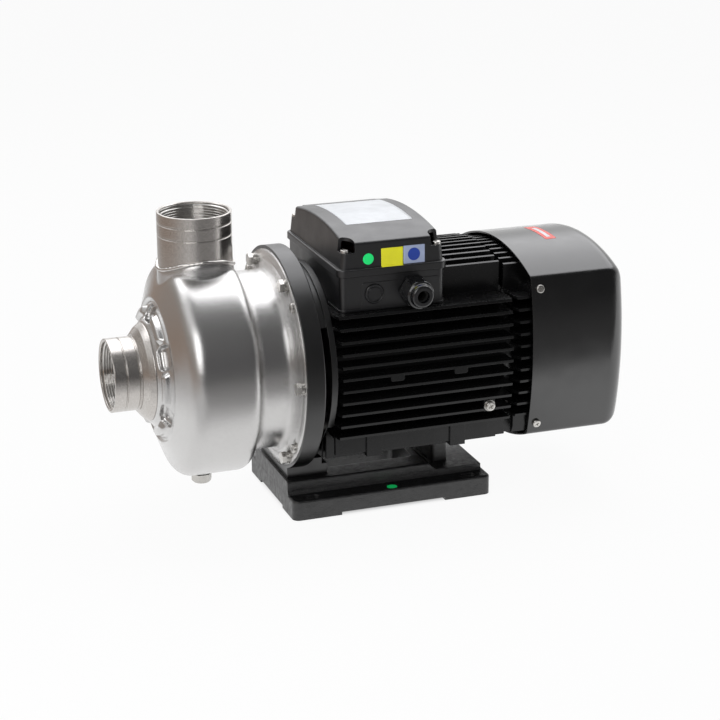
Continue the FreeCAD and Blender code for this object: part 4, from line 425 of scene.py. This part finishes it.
def sheet_rows(width, height, corner, rows=26):
    """Heights and half widths across a rounded rectangle, closer together in its corners."""
    out = []
    for i in range(rows + 1):
        y = -height / 2.0 * math.cos(math.pi * i / rows)
        over = max(0.0, abs(y) - (height / 2.0 - corner))
        half = width / 2.0 - corner + math.sqrt(max(0.0, corner ** 2 - over ** 2))
        out.append((y, half))
    return out


def sticker(name, node, slot, centre, up, size, corner, paint, proud):
    """A thin sheet laid on a node's surface; its width runs along X and its height along up."""
    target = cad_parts[node]
    across = Vector(X)
    up = Vector(up)
    normal = across.cross(up)
    clear = normal * 0.05             # rays start this far off the surface
    columns = 24
    rows = sheet_rows(*size, corner)
    verts = []
    for y, half in rows:
        for i in range(columns + 1):
            x = half * (2.0 * i / columns - 1.0)
            hit, place, _, _ = target.ray_cast(centre + across * x + up * y + clear, -normal)
            if not hit:
                raise ValueError(name + " misses " + node)
            verts.append(place + normal * proud)
    obj = new_piece(name, verts, grid_faces(len(rows) - 1, columns), paint, slot)
    thick = obj.modifiers.new("thickness", "SOLIDIFY")
    thick.thickness = proud * 1.5
    thick.offset = -1.0


def ring_of_rod(points, radii, sides=12):
    """Points and faces of a round rod along a closed line, with a radius for each point."""
    n = len(points)
    verts = []
    for i, point in enumerate(points):
        ahead = (points[(i + 1) % n] - points[i - 1]).normalized()
        side = ahead.cross(Vector(Z)).normalized()
        top = side.cross(ahead)
        for k in range(sides):
            turn = 2.0 * math.pi * k / sides
            verts.append(point + (side * math.cos(turn) + top * math.sin(turn)) * radii[i])
    faces = []
    for i in range(n):
        here = i * sides
        after = (i + 1) % n * sides
        for k in range(sides):
            beside = (k + 1) % sides
            faces.append((here + k, here + beside, after + beside, after + k))
    return verts, faces


def pipe_thread(name, mouth, inward):
    """Helical ridges of a 2 inch pipe thread along the wall of a port."""
    pitch = 0.00231
    wall = 0.02984
    depth = 0.0014
    length = 0.0285
    per_turn = 72
    run_in = per_turn * 0.6           # steps in which a ridge rises at each end
    profile = [(0.0, 0.0), (0.16, 0.35), (0.36, 0.95), (0.5, 1.0), (0.64, 0.95), (0.84, 0.35)]
    inward = Vector(inward)
    side = inward.orthogonal().normalized()
    other = inward.cross(side)
    steps = int(length / pitch) * per_turn
    verts = []
    for i in range(steps + 1):
        turn = 2.0 * math.pi * i / per_turn
        fade = min(1.0, i / run_in, (steps - i) / run_in)
        for share, height in profile:
            r = wall - depth * height * fade
            place = mouth + inward * (pitch * (i / per_turn + share))
            verts.append(place + side * (r * math.cos(turn)) + other * (r * math.sin(turn)))
    k = len(profile)
    faces = []
    for i in range(steps):
        faces += [(a, a + 1, a + k + 1, a + k) for a in range(i * k, i * k + k - 1)]
        if i + per_turn + 1 <= steps:
            last = i * k + k - 1
            next_turn = (i + per_turn) * k
            faces.append((last, next_turn, next_turn + k, last + k))
    new_piece(name, verts, faces, THREAD, "turned_stainless")


def saddle_point(angle, r, lift):
    """Point of the discharge weld seam: high at the sides of the tube, low at its front and back."""
    bend = 0.0578                     # radius of the seam seen from the side
    crown = 0.1025                    # its highest place above the shaft
    x = r * math.cos(angle)
    z = SHAFT_Z + crown - bend + math.sqrt(bend ** 2 - x ** 2)
    return Vector((PORT_X + x, r * math.sin(angle), z + lift))


def weld_bead():
    """Hand-laid bead round the foot of the discharge tube, in overlapping ripples."""
    count = 360
    tube = 0.0330
    points = []
    radii = []
    for i in range(count):
        angle = 2.0 * math.pi * i / count
        ripple = 0.5 + 0.5 * math.sin(angle * 46.0 + 1.3 * math.sin(angle * 3.0))
        drift = math.sin(angle * 5.0 + 0.7) * 0.5 + math.sin(angle * 11.0) * 0.5
        points.append(saddle_point(angle, tube + 0.00022 * drift, 0.0003 * drift))
        radii.append(0.0017 + 0.00012 * ripple + 0.0003 * drift)
    new_piece("weld_bead", *ring_of_rod(points, radii), WELD, "turned_stainless")


def rounded_step(value):
    """0 at 0 and below, 1 at 1 and above, level at both ends."""
    value = max(0.0, min(1.0, value))
    return value * value * (3.0 - 2.0 * value)


def nose_lobes():
    """Flat-topped swellings pressed in the nose between the pockets."""
    count = 6
    first = math.radians(59.5)
    half_turn = math.radians(17.5)
    inner = Vector((-0.1128, 0.0474))     # place along the shaft from the flange, and radius
    outer = Vector((-0.1076, 0.0580))
    length = (outer - inner).length
    slope = (outer - inner).normalized()
    out = Vector((-slope.y, slope.x))
    height = 0.0042
    sunk = 0.0003                         # depth of the rim below the cone
    shoulder = 0.0050
    end_shoulder = shoulder * 0.8
    columns = 44
    rows = 22
    verts = []
    faces = []
    for k in range(count):
        middle = first + math.tau * k / count
        faces += grid_faces(rows, columns, len(verts))
        for j in range(rows + 1):
            place = inner.lerp(outer, j / rows)
            end = min(j, rows - j) / rows * length
            for i in range(columns + 1):
                turn = half_turn * (2.0 * i / columns - 1.0)
                side = (half_turn - abs(turn)) * place.y
                rise = rounded_step(side / shoulder) * rounded_step(end / end_shoulder)
                point = place + out * (height * rise - sunk)
                angle = middle + turn
                verts.append(Vector((FLANGE_X + point.x, -point.y * math.cos(angle),
                                     SHAFT_Z + point.y * math.sin(angle))))
    new_piece("nose_lobes", verts, faces, BLASTED, "blasted_stainless")


def cutter(name, meshes):
    """One hidden object made of several closed meshes, for cutting recesses."""
    whole = bmesh.new()
    for verts, faces in meshes:
        made = [whole.verts.new(v) for v in verts]
        for face in faces:
            whole.faces.new([made[i] for i in face])
    bmesh.ops.recalc_face_normals(whole, faces=whole.faces[:])
    mesh = bpy.data.meshes.new(name)
    whole.to_mesh(mesh)
    whole.free()
    obj = in_scene(name, mesh)
    obj.hide_render = True
    obj.hide_viewport = True
    obj.display_type = "WIRE"
    return obj


def prism_between(outline, top, out, side, depth, taper):
    """Closed prism under an outline, narrowing by taper over depth."""
    other = out.cross(side)
    over = 0.0006                     # the prism starts this far above the head
    n = len(outline)
    verts = [top + out * over + side * x + other * y for x, y in outline]
    verts += [top - out * depth + (side * x + other * y) * taper for x, y in outline]
    faces = [tuple(range(n)), tuple(range(2 * n - 1, n - 1, -1))]
    faces += [(i, (i + 1) % n, n + (i + 1) % n, n + i) for i in range(n)]
    return verts, faces


def cross_outline(reach, half):
    """Outline of a cross recess, by the length of its arms and half their width."""
    outline = []
    for k in range(4):
        c, s = math.cos(k * math.pi / 2.0), math.sin(k * math.pi / 2.0)
        for x, y in ((half, half), (half, reach), (-half, reach)):
            outline.append((x * c - y * s, x * s + y * c))
    return outline


def hex_outline(across_flats):
    r = across_flats / math.sqrt(3.0)
    return [(r * math.cos(math.pi / 3.0 * k), r * math.sin(math.pi / 3.0 * k)) for k in range(6)]


def head_top(points, out):
    """Middle of a screw head's outer face."""
    far = max(p.dot(out) for p in points)
    top = [p for p in points if p.dot(out) > far - 0.0001]
    low = Vector([min(p[i] for p in top) for i in range(3)])
    high = Vector([max(p[i] for p in top) for i in range(3)])
    return (low + high) / 2.0


def recess(node, outline, depth, taper, directions):
    """Cuts a driver recess into each screw head of a node."""
    meshes = []
    for i, points in enumerate(joined_islands(node)):
        out = directions(sum(points, Vector()) / len(points)).normalized()
        side = out.cross(Vector(X) if abs(out.x) < 0.9 else Vector(Z)).normalized()
        side = Matrix.Rotation(0.5 + 1.1 * i, 3, out) @ side      # no two screws stop alike
        meshes.append(prism_between(outline, head_top(points, out), out, side, depth, taper))
    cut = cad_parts[node].modifiers.new("recess", "BOOLEAN")
    cut.operation = "DIFFERENCE"
    cut.object = cutter(node + "_driver", meshes)
    cut.solver = "EXACT"


def hood_side(middle):
    """Outward direction of a screw in the fan cover's leaning side."""
    lean = math.radians(12.1)
    side = 1.0 if middle.y > 0.0 else -1.0
    height = 1.0 if middle.z > SHAFT_Z else -1.0
    return Vector((0.0, side * math.cos(lean), height * math.sin(lean)))


FILM = 0.00012                    # a film's top over what it lies on
SECOND_FILM = 0.00024             # the same for a film on a film
STICKERS = [
    # name, node, slot, centre, upward side, width and height, corner, film, top over the node
    ("lid_label", "terminal_box_lid", "black_box",
     at(90.0, 9.0, 126.0), Y, (0.062, 0.084), 0.0012, LABEL, FILM),
    ("lid_dot", "terminal_box_lid", "black_box",
     at(65.5, -74.0, 103.1), Z, (0.0098, 0.0098), 0.00489, GREEN, FILM),
    ("yellow_patch", "terminal_box_lid", "black_box",
     at(87.3, -74.0, 103.2), Z, (0.020, 0.0160), 0.0006, YELLOW, FILM),
    ("pale_patch", "terminal_box_lid", "black_box",
     at(107.6, -74.0, 103.65), Z, (0.0197, 0.0159), 0.0006, PALE_BLUE, FILM),
    ("blue_dot", "terminal_box_lid", "black_box",
     at(107.4, -74.0, 103.65), Z, (0.0112, 0.0112), 0.00559, BLUE, SECOND_FILM),
    ("base_dot", "base_plate", "base_iron",
     at(92.2, -60.5, -110.0), Y, (0.0094, 0.0078), 0.00389, GREEN, FILM),
    ("hood_patch", "fan_cover", "black_sheet",
     at(262.0, 4.0, 90.0), Y, (0.011, 0.048), 0.0006, RED, FILM),
    ("hood_bar", "fan_cover", "black_sheet",
     at(262.0, 2.0, 90.0), Y, (0.0036, 0.034), 0.0004, LABEL, SECOND_FILM),
]

for row in STICKERS:
    sticker(*row)
pipe_thread("suction_thread", at(-149.2, 0.0, 0.0), X)
pipe_thread("discharge_thread", at(-67.9, 0.0, 140.0), (0.0, 0.0, -1.0))
weld_bead()
nose_lobes()

recess("cover_screws", cross_outline(0.0021, 0.00042), 0.0013, 0.7, hood_side)
recess("lid_screws", cross_outline(0.0019, 0.0004), 0.0012, 0.7, lambda middle: Vector(Z))
recess("flange_screws", hex_outline(0.003), 0.0012, 0.95, lambda middle: -Vector(X))
recess("earth_screw", cross_outline(0.0026, 0.00055), 0.0016, 0.7, lambda middle: -Vector(Y))
bevelled("motor_frame", 0.0005)
bevelled("rear_endshield", 0.0005)
bevelled("base_plate", 0.0008)
bevelled("terminal_box_base", 0.0004)


# Studio


def area_light(name, place, target, size, power, glossy=False):
    lamp = bpy.data.lights.new(name, "AREA")
    lamp.shape = "RECTANGLE"
    lamp.size, lamp.size_y = size
    lamp.energy = power
    obj = in_scene(name, lamp)
    obj.location = place
    obj.rotation_euler = (Vector(target) - Vector(place)).to_track_quat("-Z", "Y").to_euler()
    obj.visible_camera = False
    obj.visible_glossy = glossy


def reflected_room(g, direction):
    """What mirrors see: a dim room in front, a brown wall, a bright softbox and a white backdrop."""
    softbox_light = (2.7, 2.7, 2.75)
    z = g.split(direction)["Z"]
    back = g.dot(direction, BACK)
    aside = g.dot(direction, ASIDE)
    room = g.scale(z, -1.0, 1.0, [
        (-1.0, 0.8), (-0.3, (0.30, 0.298, 0.30)), (0.0, (0.13, 0.129, 0.13)),
        (0.3, (0.105, 0.104, 0.106)), (0.8, 0.14), (1.0, 0.3)])
    wall = g.scale(z, -1.0, 1.0, [
        (-1.0, 0.8), (-0.3, (0.66, 0.65, 0.64)), (0.0, (0.36, 0.325, 0.30)),
        (0.35, (0.38, 0.35, 0.325)), (0.6, 0.8), (1.0, 0.9)])
    backdrop = g.scale(z, -1.0, 1.0, [(-1.0, 1.0), (0.15, 1.0), (0.32, 0.96), (0.6, 0.94), (0.9, 0.8)])
    room = g.mix_colour(g.step(aside, 0.1, -0.5), room, wall)
    behind = g.math("MULTIPLY", g.step(back, 0.0, 0.35), g.step(aside, -0.8, -0.4))
    room = g.mix_colour(behind, room, backdrop)
    high = g.math("MAXIMUM", z, 0.02)
    far = g.math("DIVIDE", back, high)
    wide = g.math("ABSOLUTE", g.math("DIVIDE", aside, high))
    softbox = g.math("MULTIPLY", g.step(far, 0.04, 0.2), g.step(far, 3.8, 1.5))
    softbox = g.math("MULTIPLY", softbox, g.step(wide, 1.15, 0.9))
    softbox = g.math("MULTIPLY", softbox, g.step(z, 0.1, 0.3))
    return g.mix_colour(softbox, room, softbox_light)


def studio_world():
    """White behind the object, an even soft light on it, and a room to reflect."""
    world = bpy.data.worlds.new("studio")
    bpy.context.scene.world = world
    world.cycles.sampling_method = "NONE"
    world.use_nodes = True
    world.node_tree.nodes.clear()
    g = Graph(world.node_tree)
    direction = g.nodes.new("ShaderNodeTexCoord").outputs["Generated"]
    seen = g.nodes.new("ShaderNodeBackground")
    g.links.new(reflected_room(g, direction), seen.inputs["Color"])
    soft = g.nodes.new("ShaderNodeBackground")
    soft.inputs["Color"].default_value = (0.9, 0.92, 0.95, 1.0)
    soft.inputs["Strength"].default_value = 0.32
    white = g.nodes.new("ShaderNodeBackground")
    path = g.nodes.new("ShaderNodeLightPath").outputs
    mirror = g.math("MAXIMUM", path["Is Glossy Ray"], path["Is Transmission Ray"])
    unseen = g.mix_shader(mirror, soft.outputs["Background"], seen.outputs["Background"])
    shown = g.mix_shader(path["Is Camera Ray"], unseen, white.outputs["Background"])
    out = g.nodes.new("ShaderNodeOutputWorld")
    g.links.new(shown, out.inputs["Surface"])


def reflected_table(g, coords):
    """What mirrors see of the floor, as painted light: it glows white under the pump, dim in front and
    brown far to the left.
    """
    ahead = g.math("MULTIPLY", g.dot(coords, BACK), -1.0)
    beside = g.dot(coords, ASIDE)
    right = g.scale(ahead, 0.0, 3.0, [
        (0.0, 1.0), (0.21, 1.0), (0.26, 0.56), (0.33, (0.325, 0.32, 0.32)),
        (1.5, (0.245, 0.24, 0.24)), (3.0, (0.157, 0.154, 0.154))])
    left = g.scale(ahead, 0.0, 3.0, [
        (0.0, 1.0), (0.18, 1.0), (0.3, 0.70), (1.0, (0.65, 0.64, 0.64)), (3.0, (0.38, 0.37, 0.37))])
    table = g.mix_colour(g.step(beside, -0.2, 0.15), left, right)
    table = g.mix_colour(g.step(beside, -0.35, -0.65), table, (0.57, 0.56, 0.555))
    table = g.mix_colour(g.step(beside, -0.65, -1.3), table, (0.34, 0.26, 0.21))
    # painted highlight: the glowing floor is brighter still in a patch to the right, close in front
    glow = g.math("MULTIPLY", g.step(beside, 0.12, 0.3), g.step(ahead, 0.27, 0.2))
    node = g.nodes.new("ShaderNodeEmission")
    g.links.new(table, node.inputs["Color"])
    g.put(g.math("ADD", 1.0, g.math("MULTIPLY", glow, 0.5)), node.inputs["Strength"])
    return node.outputs["Emission"]


def studio_floor():
    """White paper that keeps the object's shadow; under the base the camera sees it as it is lit."""
    r = 12.0
    white_share = 0.94                # part of the picture's floor that is plain white
    less_under_base = 0.9
    mesh = bpy.data.meshes.new("floor")
    mesh.from_pydata([(-r, -r, 0), (r, -r, 0), (r, r, 0), (-r, r, 0)], [], [(0, 1, 2, 3)])
    floor = in_scene("floor", mesh)
    floor.location.z = -0.0004
    mat = bpy.data.materials.new("paper")
    mat.use_nodes = True
    g = Graph(mat.node_tree)
    paper = g.nodes["Principled BSDF"]
    paper.inputs["Base Color"].default_value = (0.86, 0.86, 0.86, 1.0)
    paper.inputs["Roughness"].default_value = 0.9
    white = g.nodes.new("ShaderNodeEmission")
    path = g.nodes.new("ShaderNodeLightPath").outputs
    coords = g.nodes.new("ShaderNodeTexCoord").outputs["Object"]
    place = g.split(coords)
    under = g.math("MULTIPLY", g.step(g.math("ABSOLUTE", place["X"]), 0.098, 0.08),
                   g.step(g.math("ABSOLUTE", place["Y"]), 0.07, 0.05))
    share = g.math("SUBTRACT", white_share, g.math("MULTIPLY", under, less_under_base))
    # mirrors see the painted floor light of reflected_table in place of the lit paper
    lit = g.mix_shader(path["Is Glossy Ray"], paper.outputs["BSDF"], reflected_table(g, coords))
    shown = g.mix_shader(g.math("MULTIPLY", path["Is Camera Ray"], share), lit, white.outputs["Emission"])
    g.links.new(shown, g.nodes["Material Output"].inputs["Surface"])
    floor.data.materials.append(mat)


def studio_camera():
    """The picture's view: a long lens from the front left, a little above."""
    azimuth = math.radians(-20.2718)
    height = math.radians(18.6441)
    flat = math.cos(height)
    right = Vector((math.cos(azimuth), math.sin(azimuth), 0.0))
    back = Vector((math.sin(azimuth) * flat, -math.cos(azimuth) * flat, math.sin(height)))
    up = back.cross(right)
    place = at(-500.4, -1611.9, 563.6)
    data = bpy.data.cameras.new("camera")
    data.sensor_width = 36.0
    data.lens = 99.54
    data.shift_x = -0.01616
    data.shift_y = 0.00314
    data.clip_end = 20.0
    camera = in_scene("camera", data)
    camera.matrix_world = Matrix((
        (right.x, up.x, back.x, place.x),
        (right.y, up.y, back.y, place.y),
        (right.z, up.z, back.z, place.z),
        (0.0, 0.0, 0.0, 1.0)))
    bpy.context.scene.camera = camera


studio_world()
studio_floor()
studio_camera()
area_light("top softbox", (0.35, 0.6, 1.5), (0.0, 0.0, 0.15), (1.5, 1.2), 15.0)
area_light("left strip", (-1.3, -0.55, 0.55), (-0.05, 0.0, 0.15), (0.3, 0.8), 4.0)
area_light("near softbox", (-0.60, -0.77, 0.66), (-0.15, 0.0, 0.16), (0.54, 0.6), 2.6, glossy=True)
area_light("front fill", (0.3, -1.8, 1.0), (0.05, 0.0, 0.12), (1.2, 0.8), 3.0)
bpy.context.scene.view_settings.view_transform = "Standard"
